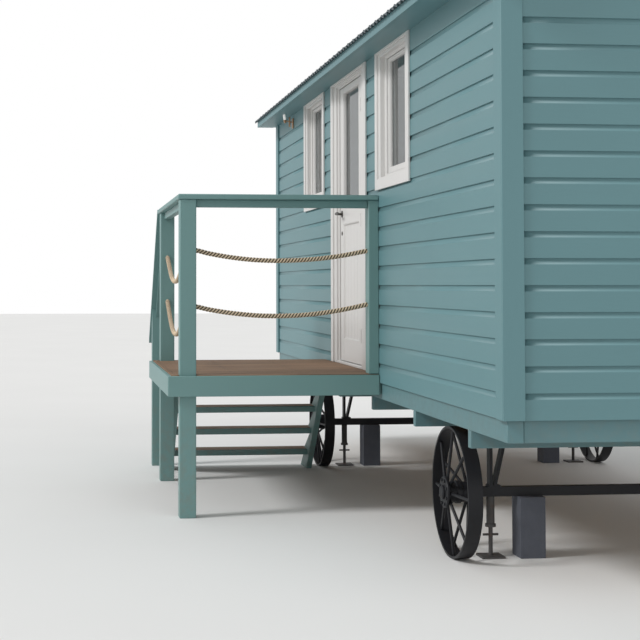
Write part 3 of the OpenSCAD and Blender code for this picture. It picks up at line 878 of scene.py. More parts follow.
class ArchGrid(LaidTree):
    """Lays like pieces in rows along the hut over the roof's arch."""

    def __init__(self) -> None:
        """Builds the tree."""
        super().__init__("laid_arch", Columns="Int", Rows="Int", Pitch="Float", Radius="Float",
                         Centre="Float", Sweep="Float")
        columns, rows, order = self.input("Columns"), self.input("Rows"), self.order()
        row = self.graph.calc("FLOOR", (order + 0.5) / columns)
        column = order - row * columns
        along = (column - (columns - 1.0) * 0.5) * self.input("Pitch")
        angle = (row / (rows - 1.0) * 2.0 - 1.0) * self.input("Sweep")
        up, across = self.polar(angle)
        self.place(self.line(columns * rows), {"X": along, "Y": across, "Z": up + self.input("Centre")},
                   {"X": angle * -1.0})


@dataclass
class Layers:
    """The Geometry Nodes trees that the sub-assemblies share."""

    row: Row = field(default_factory=Row)
    ring: Ring = field(default_factory=Ring)
    arch: ArchGrid = field(default_factory=ArchGrid)


def dress(finish: Material, *nodes: str) -> None:
    """Gives frame nodes a finish through their material slots.

    Args:
        finish: The finish.
        nodes: The nodes' names.
    """
    for name in nodes:
        mesh = frame["nodes"][name].data
        mesh.materials.clear()
        mesh.materials.append(finish)
        log.info("%s keeps its own shape in %s", name, finish.name)


@dataclass(frozen=True)
class Sun:
    """A distant lamp, with its spread, lean and turn in degrees."""

    name: str
    strength: float
    spread: float
    lean: float
    turn: float

    def build(self) -> None:
        """Adds the lamp."""
        data = bpy.data.lights.new(self.name, "SUN")
        data.energy = self.strength
        data.angle = math.radians(self.spread)
        linked(self.name, data).rotation_euler = (math.radians(self.lean), 0.0, math.radians(self.turn))


@dataclass
class Studio:
    """A camera at the photographed view, soft light and a pale floor."""

    eye: Point = (9.121, -3.129, 1.393)
    yaw: float = 6.2
    pitch: float = 2.0
    lens: float = 78.3
    sensor: float = 36.0
    shift: tuple[float, float] = (0.1711, -0.1299)
    suns: tuple[Sun, ...] = (Sun("key", 1.75, 14.0, 52.0, 14.0), Sun("fill", 0.35, 60.0, 60.0, 120.0))
    sky: float = 0.60
    mirrored: float = 0.35
    through: float = 0.40
    reach: float = 60.0

    def camera(self) -> None:
        """Puts the camera a little off the hut's long axis, looking slightly up."""
        data = bpy.data.cameras.new("view")
        data.lens = self.lens
        data.sensor_width = self.sensor
        data.shift_x, data.shift_y = self.shift
        made = linked("view", data)
        made.location = (self.eye[0], self.eye[1] + MID_Y, self.eye[2])
        made.rotation_euler = (math.radians(90.0 + self.pitch), 0.0, math.radians(90.0 - self.yaw))
        bpy.context.scene.camera = made

    def light(self) -> None:
        """Adds a soft sun from the door side, a fill and a world that looks white to the camera."""
        for sun in self.suns:
            sun.build()
        world = bpy.data.worlds.new("soft_room")
        bpy.context.scene.world = world
        world.use_nodes = True
        world.node_tree.nodes.clear()
        g = Graph(world.node_tree)
        ray = g.node("ShaderNodeLightPath")
        mirrored = g.signal(ray, "Is Glossy Ray") * self.mirrored
        through = g.signal(ray, "Is Transmission Ray") * self.through
        white = g.signal(ray, "Is Camera Ray") + mirrored + through
        sky = g.node("ShaderNodeBackground", None, {
            "Color": (1.0, 1.0, 1.0, 1.0), "Strength": self.sky + (1.0 - self.sky) * white})
        g.node("ShaderNodeOutputWorld", None, {0: sky.outputs[0]})

    def floor(self) -> None:
        """Lays a pale floor that keeps the hut's shadow."""
        mesh = bpy.data.meshes.new("pale_floor")
        corners = [(x * self.reach, y * self.reach, 0.0) for x, y in ((-1, -1), (1, -1), (1, 1), (-1, 1))]
        mesh.from_pydata(corners, [], [(0, 1, 2, 3)])
        f = Finish("pale_floor")
        f.set("Base Color", f.scaled((0.80, 0.80, 0.79), 0.97 + 0.05 * f.noise(0.6, detail=2.0)))
        f.set("Roughness", 0.9)
        mesh.materials.append(f.material)
        linked("pale_floor", mesh)

    def build(self) -> None:
        """Sets up the view, the light and the floor."""
        self.camera()
        self.light()
        self.floor()
        bpy.context.scene.view_settings.view_transform = "Standard"
        log.info("studio: camera, lights and floor")


@dataclass
class SubAssembly:
    """A part of the hut, built in its finishes with its laying trees."""

    finishes: Finishes
    layers: Layers

    def build(self) -> None:
        """Builds the part's pieces."""
        raise NotImplementedError


@dataclass
class Ropes(SubAssembly):
    """Four laid ropes between the deck's posts, along the routes of their frame nodes."""

    diameter: float = 0.030
    strands: int = 3
    groove: float = 0.0054
    sharpness: float = 1.35
    lay: float = 0.060
    sides: int = 18
    parts: int = 32
    across_x: float = 0.725
    along_y: float = -2.358
    near_upper: tuple = (
        (-1.250, 1.605), (-1.290, 1.598), (-1.350, 1.586), (-1.430, 1.572), (-1.520, 1.560), (-1.620, 1.551),
        (-1.720, 1.546), (-1.820, 1.544), (-1.920, 1.547), (-2.010, 1.554), (-2.100, 1.565), (-2.180, 1.578),
        (-2.240, 1.590), (-2.308, 1.606))
    near_lower: tuple = (
        (-1.250, 1.276), (-1.290, 1.268), (-1.350, 1.255), (-1.430, 1.240), (-1.520, 1.226), (-1.620, 1.215),
        (-1.720, 1.209), (-1.820, 1.207), (-1.920, 1.210), (-2.010, 1.217), (-2.100, 1.227), (-2.180, 1.239),
        (-2.240, 1.250), (-2.308, 1.265))
    side_upper: tuple = (
        (-0.825, 1.593), (-0.770, 1.572), (-0.700, 1.544), (-0.610, 1.508), (-0.510, 1.472), (-0.400, 1.442),
        (-0.290, 1.425), (-0.180, 1.420), (-0.070, 1.421), (0.040, 1.430), (0.150, 1.448), (0.260, 1.474),
        (0.360, 1.505), (0.450, 1.537), (0.530, 1.567), (0.600, 1.592), (0.675, 1.618))
    side_lower: tuple = (
        (-0.825, 1.280), (-0.770, 1.254), (-0.700, 1.221), (-0.610, 1.180), (-0.510, 1.140), (-0.400, 1.104),
        (-0.290, 1.081), (-0.180, 1.071), (-0.070, 1.070), (0.040, 1.079), (0.150, 1.098), (0.260, 1.128),
        (0.360, 1.164), (0.450, 1.200), (0.530, 1.233), (0.600, 1.260), (0.675, 1.282))

    def curve(self, route: Sequence[Point], crosses: bool, parts: int) -> list[Vector]:
        """Draws a smooth line through a route's points, beside the deck.

        Args:
            route: Points as (along, height).
            crosses: Whether the rope runs across the hut instead of along it.
            parts: Pieces that each span is cut into.

        Returns:
            The line's points.
        """
        points = [Vector(p) for p in route]
        line = []
        for i in range(len(points) - 1):
            a, b = points[i], points[i + 1]
            before = points[i - 1] if i else a + Vector((a.x - b.x, 0.0))
            after = points[i + 2] if i + 2 < len(points) else b + Vector((b.x - a.x, 0.0))
            for k in range(parts):
                t = k / parts
                line.append(0.5 * (2 * a + (b - before) * t + (2 * before - 5 * a + 4 * b - after) * t * t
                                   + (3 * a - before - 3 * b + after) * t ** 3))
        line.append(points[-1])
        return [Vector((self.across_x, *p) if crosses else (p.x, self.along_y, p.y)) for p in line]

    def make(self, name: str, route: Sequence[Point], crosses: bool) -> None:
        """Args:
            name: The rope's name.
            route: Points as (along, height).
            crosses: Whether it runs across the hut instead of along it.
        """
        line = self.curve(route, crosses, self.parts)
        side = Vector((1.0, 0.0, 0.0)) if crosses else Vector((0.0, 1.0, 0.0))
        shape = Shape(name + "_laid_rope").use(self.finishes.rope)
        crowns = shape.bm.verts.layers.float.new("crown")
        rings, run = [], 0.0
        for i, here in enumerate(line):
            up = side.cross(direction(line, i)).normalized()
            run += (here - line[i - 1]).length if i else 0.0
            ring = []
            for k in range(self.sides):
                angle = 2 * math.pi * k / self.sides
                crown = abs(math.cos(self.strands / 2 * (angle - 2 * math.pi * run / self.lay)))
                radius = self.diameter / 2 - self.groove * (1 - crown) ** self.sharpness
                vert = shape.vert(here + (side * math.cos(angle) + up * math.sin(angle)) * radius)
                # crown shapes the strands and also masks the rope's painted shade in the grooves.
                vert[crowns] = crown
                ring.append(vert)
            rings.append(ring)
        shape.loft(rings, range(self.sides))
        piece = shape.build(replaces=(name + "_rope",), slot="rope")
        path = [p + Vector((0.0, MID_Y, 0.0)) for p in self.curve(route, crosses, 2)]

    def build(self) -> None:
        """Builds the four ropes."""
        self.make("near_upper", self.near_upper, True)
        self.make("near_lower", self.near_lower, True)
        self.make("side_upper", self.side_upper, False)
        self.make("side_lower", self.side_lower, False)


@dataclass(frozen=True)
class Hull:
    """The body's main planes, which the sub-assemblies share."""

    half_l: float = 3.200
    half_w: float = 1.200
    trim: float = 0.012
    wall_t: float = 0.100
    base: float = 0.800
    deck: float = 0.855
    head_strip: float = 2.803
    hole_top: float = 2.813
    soffit: float = 2.820
    roof_r: float = 2.3082
    roof_z: float = 0.9658

    @property
    def clad(self) -> float:
        """Returns the distance of the long walls' cladding from the middle."""
        return self.half_w - self.trim

    @property
    def clad_l(self) -> float:
        """Returns the distance of the end walls' cladding from the middle."""
        return self.half_l - self.trim

    @property
    def inner(self) -> float:
        """Returns the distance of the long walls' inner faces from the middle."""
        return self.clad - self.wall_t

    @property
    def inner_l(self) -> float:
        """Returns the distance of the end walls' inner faces from the middle."""
        return self.clad_l - self.wall_t

    def arch(self, y: float) -> float:
        """Returns the height of the roof's underside over a line along the hut."""
        return self.roof_z + math.sqrt(self.roof_r ** 2 - y ** 2)


HULL = Hull()


@dataclass
class Walls(SubAssembly):
    """Scooped shiplap boards over a core, with corner boards and an inner lining."""

    courses: int = 17
    gable_courses: int = 4
    under_windows: int = 10
    board_t: float = 0.016
    scoop_h: float = 0.028
    scoop_d: float = 0.008
    lap: float = 0.010
    arris: float = 0.0012
    gap: float = 0.0005
    core_gap: float = 0.0003
    end_gap: float = 0.001
    gable_gap: float = 0.002
    roof_gap: float = 0.003
    joint: float = 0.0015
    corner_w: float = 0.100
    windows: tuple[float, float] = (-1.366, 1.142)
    window_half: float = 0.350
    window_low: float = 2.030
    door: tuple[float, float] = (-0.612, 0.388)
    back_joints: tuple[float, float] = (1.15, -0.95)
    floor_bed: float = 0.842
    floor_t: float = 0.018
    floor_gap: float = 0.0025
    floor_in: float = 0.0015
    floor_butt: float = 0.002
    floor_rows: int = 15
    floor_joints: tuple[float, float] = (-1.2, 1.0)

    @property
    def pitch(self) -> float:
        """Returns the height of one course."""
        return (HULL.soffit - HULL.base) / self.courses

    def board(self, scooped: bool = True, parts: int = 1) -> Shape:
        """Makes a board one metre long with its face on the plane y = 0.

        Args:
            scooped: Whether its top is hollowed and runs up behind the next board.
            parts: Pieces that its length is cut into.

        Returns:
            The board.
        """
        foot = [(self.arris, 0.0), (0.0, self.arris)]
        rebate, shoulder = self.scoop_d + self.gap, self.lap + self.gap
        heel = [(self.board_t, shoulder), (rebate, shoulder), (rebate, 0.0)]
        if scooped:
            radius = (self.scoop_h ** 2 + self.scoop_d ** 2) / (2 * self.scoop_d)
            sweep = math.asin(self.scoop_h / radius)
            turns = [sweep * (1 - k / 6) for k in range(7)]
            hollow = [(radius * math.cos(a) - radius + self.scoop_d, self.pitch - radius * math.sin(a))
                      for a in turns]
            crest = [(self.scoop_d, self.pitch + self.lap), (self.board_t, self.pitch + self.lap)]
        else:
            hollow, crest = [], [(0.0, self.pitch - self.gap), (self.board_t, self.pitch - self.gap)]
        outline = foot + hollow + crest + heel
        shape = Shape("shiplap_board")
        rings = [[shape.vert((k / parts, y, z)) for y, z in outline] for k in range(parts + 1)]
        return shape.loft(rings, range(len(foot), len(foot) + len(hollow) - 1))

    def lay(self, shape: Shape, board: Shape, region: tuple[float, float, int, int], seed: int,
            wall: Matrix, every: int = 1) -> None:
        """Boards a region of a wall.

        Args:
            shape: The shape that takes the boards.
            board: The board.
            region: The start and end along the wall, the first course and the number of boards.
            seed: The seed of the boards' tones.
            wall: The wall's place, with its run along X and its face towards -Y.
            every: Courses from one of these boards to the next.
        """
        start, end, first, count = region
        where = wall @ Matrix.Translation((start, -HULL.clad, HULL.base + first * self.pitch))
        self.layers.row.lay(shape, board, where, Seed=seed, Count=count,
                            Step=(0.0, 0.0, every * self.pitch), Stretch=(end - start, 1.0, 1.0))

    def section(self, side: int, low: float, high: Optional[float] = None) -> list[Point]:
        """Draws the section of a long wall's core.

        Args:
            side: The wall, -1 in front and 1 behind.
            low: The section's foot.
            high: Its top, or None where it reaches the roof.

        Returns:
            The section as (y, z).
        """
        outer, inner = side * (HULL.clad - self.board_t - self.core_gap), side * HULL.inner
        in_top, out_top = (high or HULL.arch(y) - self.roof_gap for y in (HULL.inner, HULL.clad))
        return [(outer, low), (inner, low), (inner, in_top), (outer, out_top)]

    def front(self) -> None:
        """Builds the door side: boards up to the openings over a core with the same openings."""
        shape = Shape("front_shiplap").use(self.finishes.hull)
        scooped, plain, wall = self.board(), self.board(False), Matrix()
        end = HULL.inner_l - self.end_gap
        low_courses, top = self.under_windows, self.courses - 1
        holes = [(x - self.window_half, x + self.window_half) for x in self.windows]
        halves = ((-end, self.door[0], holes[0]), (self.door[1], end, holes[1]))
        for n, (low, high, hole) in enumerate(halves):
            self.lay(shape, scooped, (low, high, 0, low_courses), 3 + n, wall)
            for k, run in enumerate(((low, hole[0]), (hole[1], high))):
                seed = 20 + 4 * n + k
                self.lay(shape, scooped, (*run, low_courses, top - low_courses), seed, wall)
                self.lay(shape, plain, (*run, top, 1), seed + 20, wall)
        shape.build(slot="paint")
        core = Shape("front_wall_core").use(self.finishes.lining)
        edges = (-HULL.inner_l, *holes[0], *self.door, *holes[1], HULL.inner_l)
        for low, high, spans in ((HULL.base, None, zip(edges[::2], edges[1::2])),
                                 (HULL.hole_top, None, zip(edges[1::2], edges[2::2])),
                                 (HULL.base, self.window_low, holes)):
            for start, stop in spans:
                core.prism(self.section(-1, low, high), start, stop, "x")
        core.build(replaces=("front_wall_near", "front_wall_far", "front_wall_over_door"), slot="paint")

    def rear(self) -> None:
        """Builds the plain long wall behind, its boards jointed at two places in turn."""
        shape = Shape("back_shiplap").use(self.finishes.hull)
        scooped, plain = self.board(), self.board(False)
        turn = Matrix.Rotation(math.pi, 4, "Z")
        end = HULL.inner_l - self.end_gap
        even, odd = self.back_joints
        top = self.courses - 1
        rows = ((scooped, 0, top // 2, even, 60), (scooped, 1, top // 2, odd, 62),
                (plain, top, 1, even, 70))
        for board, first, count, joint, seed in rows:
            for k, run in enumerate(((-end, joint), (joint + self.joint, end))):
                self.lay(shape, board, (*run, first, count), seed + k, turn, 2)
        shape.use(self.finishes.lining).prism(self.section(1, HULL.base), -HULL.inner_l, HULL.inner_l, "x")
        shape.build(replaces=("back_wall",), slot="paint")

    def end(self, name: str, side: int, seed: int) -> None:
        """Builds one end wall with its arched gable.

        Args:
            name: The node that it stands for.
            side: The end, 1 for the near one and -1 for the far one.
            seed: The seed of the boards' tones.
        """
        turn = Matrix.Rotation(side * math.pi / 2, 4, "Z")
        wall = turn @ Matrix.Translation((0.0, HULL.half_w - HULL.half_l, 0.0))
        shape = Shape(name + "_shiplap").use(self.finishes.hull_cross)
        reach = HULL.clad - self.gap
        self.lay(shape, self.board(), (-reach, reach, 0, self.courses), seed, wall)
        start = len(shape.bm.verts)
        parted = self.board(parts=24)
        for course in range(self.courses, self.courses + self.gable_courses):
            low = HULL.base + course * self.pitch
            run = min(reach, math.sqrt(HULL.roof_r ** 2 - (low - HULL.roof_z) ** 2))
            self.lay(shape, parted, (-run, run, course, 1), seed + course, wall)
        for vert in list(shape.bm.verts)[start:]:
            vert.co.z = min(vert.co.z, HULL.arch(vert.co.y))
        edge = HULL.clad - self.board_t
        inner, outer = side * HULL.inner_l, side * (HULL.clad_l - self.board_t - self.core_gap)
        for finish, start, stop, steps in (
                (self.finishes.hull_cross, -reach, -edge, 1), (self.finishes.lining, -edge, edge, 32),
                (self.finishes.hull_cross, edge, reach, 1)):
            rim = [start + (stop - start) * k / steps for k in range(steps + 1)]
            outline = [(y, HULL.arch(y) - self.gable_gap) for y in rim]
            outline += [(stop, HULL.base), (start, HULL.base)]
            shape.use(finish).prism(outline, inner, outer, "x")
        shape.build(replaces=(name,), slot="paint")

    def corners(self) -> None:
        """Builds the corner boards, one on each face of each corner."""
        shape = Shape("corner_trim").use(self.finishes.hull_upright)
        face = ((HULL.clad_l - self.corner_w, -HULL.half_w), (HULL.clad_l - self.gap, -HULL.clad))
        edge = ((HULL.clad_l, -HULL.half_w), (HULL.half_l, -HULL.half_w + self.corner_w))
        for sx, sy in product((-1, 1), repeat=2):
            for (x0, y0), (x1, y1) in (face, edge):
                shape.block((sx * x0, sy * y0, HULL.base), (sx * x1, sy * y1, HULL.soffit))
        shape.build(replaces=("corner_boards",), slot="paint")

    def floor(self) -> None:
        """Lays the floor boards along the hut over the floor."""
        step = 2 * HULL.inner / self.floor_rows
        board = Shape("floor_board")
        board.block((0.0, 0.0, 0.0), (1.0, step - self.floor_gap, self.floor_t), 0.0015)
        shape = Shape("floor_boarding").use(self.finishes.floor)
        first, second = self.floor_joints
        butt = self.floor_butt
        runs = ((-HULL.inner_l, first), (first + butt, second), (second + butt, HULL.inner_l))
        for seed, (start, end) in enumerate(runs, 3):
            where = Matrix.Translation((start, -HULL.inner + self.floor_in, self.floor_bed))
            self.layers.row.lay(shape, board, where, Seed=seed, Count=self.floor_rows, Step=(0.0, step, 0.0),
                                Stretch=(end - start, 1.0, 1.0))
        shape.block((-HULL.inner_l, -HULL.inner, HULL.base),
                    (HULL.inner_l, HULL.inner, self.floor_bed - self.gap), 0.001)
        shape.build(replaces=("floor",), slot="floor_timber")

    def build(self) -> None:
        """Builds the four walls, the corner boards and the floor."""
        self.front()
        self.rear()
        self.end("near_end_wall", 1, 23)
        self.end("far_end_wall", -1, 41)
        self.corners()
        self.floor()


@dataclass
class Roof(SubAssembly):
    """The curved roof: sheeting with its fixings, boards, verges and eaves.

    A screw's washer and head are each a radius, a foot and a top.
    """

    top_r: float = 2.3522
    pitch: float = 0.152
    columns: int = 43
    rows: int = 6
    sweep: float = 0.605
    washer: tuple[float, float, float] = (0.0095, -0.002, 0.0018)
    head: tuple[float, float, float] = (0.005225, 0.0012, 0.0065)

    def build(self) -> None:
        """Dresses the roof's nodes and adds the sheeting's screws."""
        dress(self.finishes.sheeting, "roof_sheeting")
        dress(self.finishes.roof_timber, "roof_boards")
        dress(self.finishes.hull_cross, "verge_boards")
        dress(self.finishes.hull, "eave_boards")
        screw = Shape("roof_screw")
        for radius, low, high in (self.washer, self.head):
            screw.prism(circle(radius, 8), low, high, "z")
        shape = Shape("sheeting_screws").use(self.finishes.sheeting)
        self.layers.arch.lay(shape, screw, Matrix(), Seed=5, Columns=self.columns, Rows=self.rows,
                             Pitch=self.pitch, Radius=self.top_r, Centre=HULL.roof_z, Sweep=self.sweep)
        shape.build(slot="roof_metal")


def around(x: float, sizes: tuple[float, float, float], grow: float, y: float) -> tuple[float, ...]:
    """Returns a rectangle for a nested frame.

    Args:
        x: The middle along the hut.
        sizes: Half the width, the low edge and the high edge.
        grow: How far every edge is moved outwards.
        y: The plane that the rectangle lies in.

    Returns:
        The rectangle as (left, right, low, high, y).
    """
    half, low, high = sizes
    return x - half - grow, x + half + grow, low - grow, high + grow, y


@dataclass(frozen=True)
class Surround:
    """Casing boards round an opening, with a lining and a frame stepped back into the wall.

    The hole, the lining's inside and the frame's inside are each half a width, a low edge and a high edge.
    Where the sill stands no higher than the foot, there is no board below the opening.
    """

    half: float
    board: float
    foot: float
    sill: float
    hole: tuple[float, float, float]
    lining: tuple[float, float, float]
    opening: tuple[float, float, float]
    frame_face: float
    lining_face: float = -1.190
    gap: float = 0.0002
    flange_gap: float = 0.0003
    arris: float = 0.0015
    edge: float = 0.0018

    def build(self, shape: Shape, x: float) -> None:
        """Builds the boards, the lining and the frame.

        Args:
            shape: The shape that takes them.
            x: The middle along the hut.
        """
        face, clad = -HULL.half_w, -HULL.clad
        inside = self.half - self.board
        for side in (-1, 1):
            shape.block((x + side * inside, face, self.foot),
                        (x + side * self.half, clad, HULL.soffit), self.edge)
        strip = inside - self.gap
        for low, high in ((self.foot, self.sill), (HULL.head_strip, HULL.soffit)):
            if high > low:
                shape.block((x - strip, face + self.gap, low), (x + strip, clad, high), self.edge)
        flange = (inside - self.flange_gap, self.sill + self.flange_gap, HULL.head_strip - self.flange_gap)
        back, front, arris = clad + 2 * self.gap, self.lining_face, self.arris
        shape.nest([around(x, flange, 0.0, back), around(x, flange, 0.0, front + arris / 2),
                    around(x, flange, -arris / 2, front), around(x, self.lining, arris, front),
                    around(x, self.lining, 0.0, front + arris), around(x, self.lining, 0.0, back)])
        back, front, room = back + self.gap, self.frame_face, -HULL.inner
        shape.nest([around(x, self.hole, 0.0, room), around(x, self.hole, 0.0, back),
                    around(x, self.lining, 0.0, back), around(x, self.lining, 0.0, front),
                    around(x, self.opening, arris, front), around(x, self.opening, 0.0, front + arris),
                    around(x, self.opening, 0.0, room)])


@dataclass
class Windows(SubAssembly):
    """Two square windows with stepped casings, frames, moulded sashes and glass."""

    centres: tuple[float, float] = (1.142, -1.366)
    surround: Surround = Surround(
        half=0.414, board=0.054, foot=1.975, sill=2.040, hole=(0.350, 2.030, HULL.hole_top),
        lining=(0.302, 2.049, 2.784), opening=(0.255, 2.067, 2.766), frame_face=-1.1625)
    sash: tuple[float, float, float] = (0.252, 2.070, 2.763)
    pane: tuple[float, float, float] = (0.217, 2.108, 2.741)
    sash_face: float = -1.1535
    sash_rear: float = -1.1035

    def casings(self) -> None:
        """Builds the casing boards, the linings and the frames."""
        shape = Shape("window_trim").use(self.finishes.white)
        for x in self.centres:
            self.surround.build(shape, x)
        shape.build(replaces=("window_casings",), slot="white_paint")

    def sashes(self) -> None:
        """Builds the moulded sashes and their inner beads."""
        shape = Shape("moulded_sashes").use(self.finishes.white)
        front, rear = self.sash_face, self.sash_rear
        outer, inner = self.sash, self.pane
        profile = ((outer, 0.0, rear), (outer, 0.0, front + 0.0012), (outer, -0.0012, front),
                   (inner, 0.0075, front), (inner, 0.0065, front + 0.0022), (inner, 0.0035, front + 0.0045),
                   (inner, 0.0012, front + 0.0090), (inner, 0.0, front + 0.0150),
                   (inner, 0.0, rear - 0.0080), (inner, 0.0065, rear))
        for x in self.centres:
            shape.nest([around(x, sizes, grow, y) for sizes, grow, y in profile])
        shape.build(replaces=("window_sashes",), slot="white_paint")
        dress(self.finishes.glass, "window_glass")

    def build(self) -> None:
        """Builds both windows."""
        self.casings()
        self.sashes()


@dataclass
class Door(SubAssembly):
    """The doorway's casing and frame, and the half-glazed leaf with its furniture.

    Each row of a bead is its inset and its depth, and each row of the furniture is its distance along the
    leaf, out of it and up, with a radius.
    """

    x: float = -0.112
    surround: Surround = Surround(
        half=0.565, board=0.075, foot=HULL.deck, sill=HULL.deck, hole=(0.500, HULL.base, HULL.hole_top),
        lining=(0.402, 0.868, 2.788), opening=(0.354, 0.870, 2.770), frame_face=-1.178)
    stop_w: float = 0.013
    stop_t: float = 0.020
    stop_gap: float = 0.0025
    near: float = 0.349
    free: float = -0.346
    low: float = 0.875
    top: float = 2.765
    leaf_face: float = -1.172
    leaf_t: float = 0.044
    stile: float = 0.100
    top_rail: float = 0.038
    foot_rail: float = 0.150
    lock_rail: tuple[float, float] = (1.815, 1.945)
    rail_gap: float = 0.0004
    rail_in: float = 0.0006
    panel_in: float = 0.010
    panel_t: float = 0.020
    panel_boards: int = 5
    panel_gap: float = 0.0003
    panel_contrast: float = 0.15
    groove: float = 0.004
    outer_bead: tuple = ((0.0, 0.003), (0.003, 0.004), (0.005, 0.010), (0.007, 0.016), (0.007, 0.0235),
                         (0.0, 0.0235))
    inner_bead: tuple = ((0.0, -0.0135), (0.007, -0.0135), (0.007, -0.008), (0.004, -0.003), (0.0, -0.002))
    panel_bead: tuple = ((0.0, 0.001), (0.003, 0.002), (0.009, 0.0095), (0.009, 0.0105), (0.0, 0.0105))
    handle: tuple[float, float] = (0.058, 1.889)
    rose: tuple = ((0.0, 0.0, 0.0, 0.025), (0.0, 0.004, 0.0, 0.025), (0.0, 0.006, 0.0, 0.022))
    lever: tuple = (
        (0.0, 0.005, 0.0, 0.011), (0.0, 0.009, 0.0, 0.008), (0.0, 0.034, 0.0, 0.008),
        (0.003, 0.043, 0.0, 0.0085), (0.012, 0.047, 0.001, 0.009), (0.040, 0.047, 0.004, 0.0085),
        (0.070, 0.046, 0.003, 0.008), (0.095, 0.045, -0.003, 0.0075), (0.108, 0.043, -0.010, 0.005))
    keyhole_drop: float = 0.135
    keyhole: tuple = ((0.0, 0.0, 0.0, 0.014), (0.0, 0.003, 0.0, 0.014), (0.0, 0.004, 0.0, 0.011))
    slot_half: float = 0.002
    slot_t: float = 0.001
    slot_drop: float = 0.008
    slot_rise: float = 0.004

    def frame(self) -> None:
        """Builds the casing boards, the stepped frame with its threshold, and the stop behind the leaf."""
        shape = Shape("door_frame").use(self.finishes.white)
        self.surround.build(shape, self.x)
        front = self.leaf_face + self.leaf_t + self.stop_gap
        rear = front + self.stop_t
        half, low, high = self.surround.opening
        inside, head = half - self.stop_w, high - self.stop_w
        for side in (-1, 1):
            shape.block((self.x + side * inside, front, low), (self.x + side * half, rear, head), 0.0015)
        shape.block((self.x - half, front, head), (self.x + half, rear, high), 0.0015)
        shape.build(replaces=("door_casing",), slot="white_paint")

    def panel(self, shape: Shape, left: float, right: float, low: float) -> None:
        """Lays the boards of the leaf's panel, with a groove between each two.

        Args:
            shape: The shape that takes them.
            left: Where they start along the hut.
            right: Where they end.
            low: Their foot.
        """
        pitch = (right - left) / self.panel_boards
        gap, v, depth = self.panel_gap, self.groove, self.panel_t
        board = Shape("panel_board").prism(
            [(gap, 0.0), (gap, v - depth), (v, -depth), (pitch - v, -depth), (pitch - gap, v - depth),
             (pitch - gap, 0.0)], 0.0, 1.0, "z")
        where = Matrix.Translation((left, self.leaf_face + self.panel_in + depth, low))
        self.layers.row.lay(shape, board, where, self.panel_contrast, Seed=9, Count=self.panel_boards,
                            Step=(pitch, 0.0, 0.0), Stretch=(1.0, 1.0, self.lock_rail[0] - low))

    def leaf(self) -> None:
        """Builds the leaf's stiles, rails, grooved panel boards and glazing beads."""
        shape = Shape("door_joinery").use(self.finishes.white)
        left, right = self.x + self.free, self.x + self.near
        in_left, in_right = left + self.stile, right - self.stile
        front, rear = self.leaf_face, self.leaf_face + self.leaf_t
        glass_top = self.top - self.top_rail
        panel_low = self.low + self.foot_rail
        for x0, x1 in ((left, in_left), (in_right, right)):
            shape.block((x0, front, self.low), (x1, rear, self.top))
        for z0, z1 in ((self.low, panel_low), self.lock_rail, (glass_top, self.top)):
            shape.block((in_left + self.rail_gap, front + self.rail_in, z0),
                        (in_right - self.rail_gap, rear - self.rail_in, z1))
        self.panel(shape, in_left, in_right, panel_low)
        middle, half = (in_left + in_right) / 2, (in_right - in_left) / 2
        glass, panel = (half, self.lock_rail[1], glass_top), (half, panel_low, self.lock_rail[0])
        for sizes, bead, face in ((glass, self.outer_bead, front), (glass, self.inner_bead, rear),
                                  (panel, self.panel_bead, front)):
            shape.nest([around(middle, sizes, -inset, face + depth) for inset, depth in bead])
        shape.build("door", ("door_leaf",), "white_paint")
        dress(self.finishes.glass, "door_glass")
        dress(self.finishes.white, "door_hinges")

    def furniture(self) -> None:
        """Builds the curved lever handles, their roses and the keyhole plates on both faces."""
        shape = Shape("lever_handles").use(self.finishes.bronze)
        x, z = self.x + self.free + self.handle[0], self.handle[1]
        low = z - self.keyhole_drop
        for face, way in ((self.leaf_face, -1.0), (self.leaf_face + self.leaf_t, 1.0)):
            for rows, middle, sides in ((self.rose, z, 28), (self.lever, z, 16), (self.keyhole, low, 20)):
                line = [(x + along, face + way * out, middle + up) for along, out, up, _ in rows]
                shape.tube(line, [row[3] for row in rows], sides)
            plate = face + way * self.keyhole[-1][1]
            shape.block((x - self.slot_half, plate - self.slot_t, low - self.slot_drop),
                        (x + self.slot_half, plate + self.slot_t, low + self.slot_rise), 0.0003)
        shape.build("door", ("door_handles",), "handle_metal")

    def build(self) -> None:
        """Builds the doorway and the leaf."""
        self.frame()
        self.leaf()
        self.furniture()


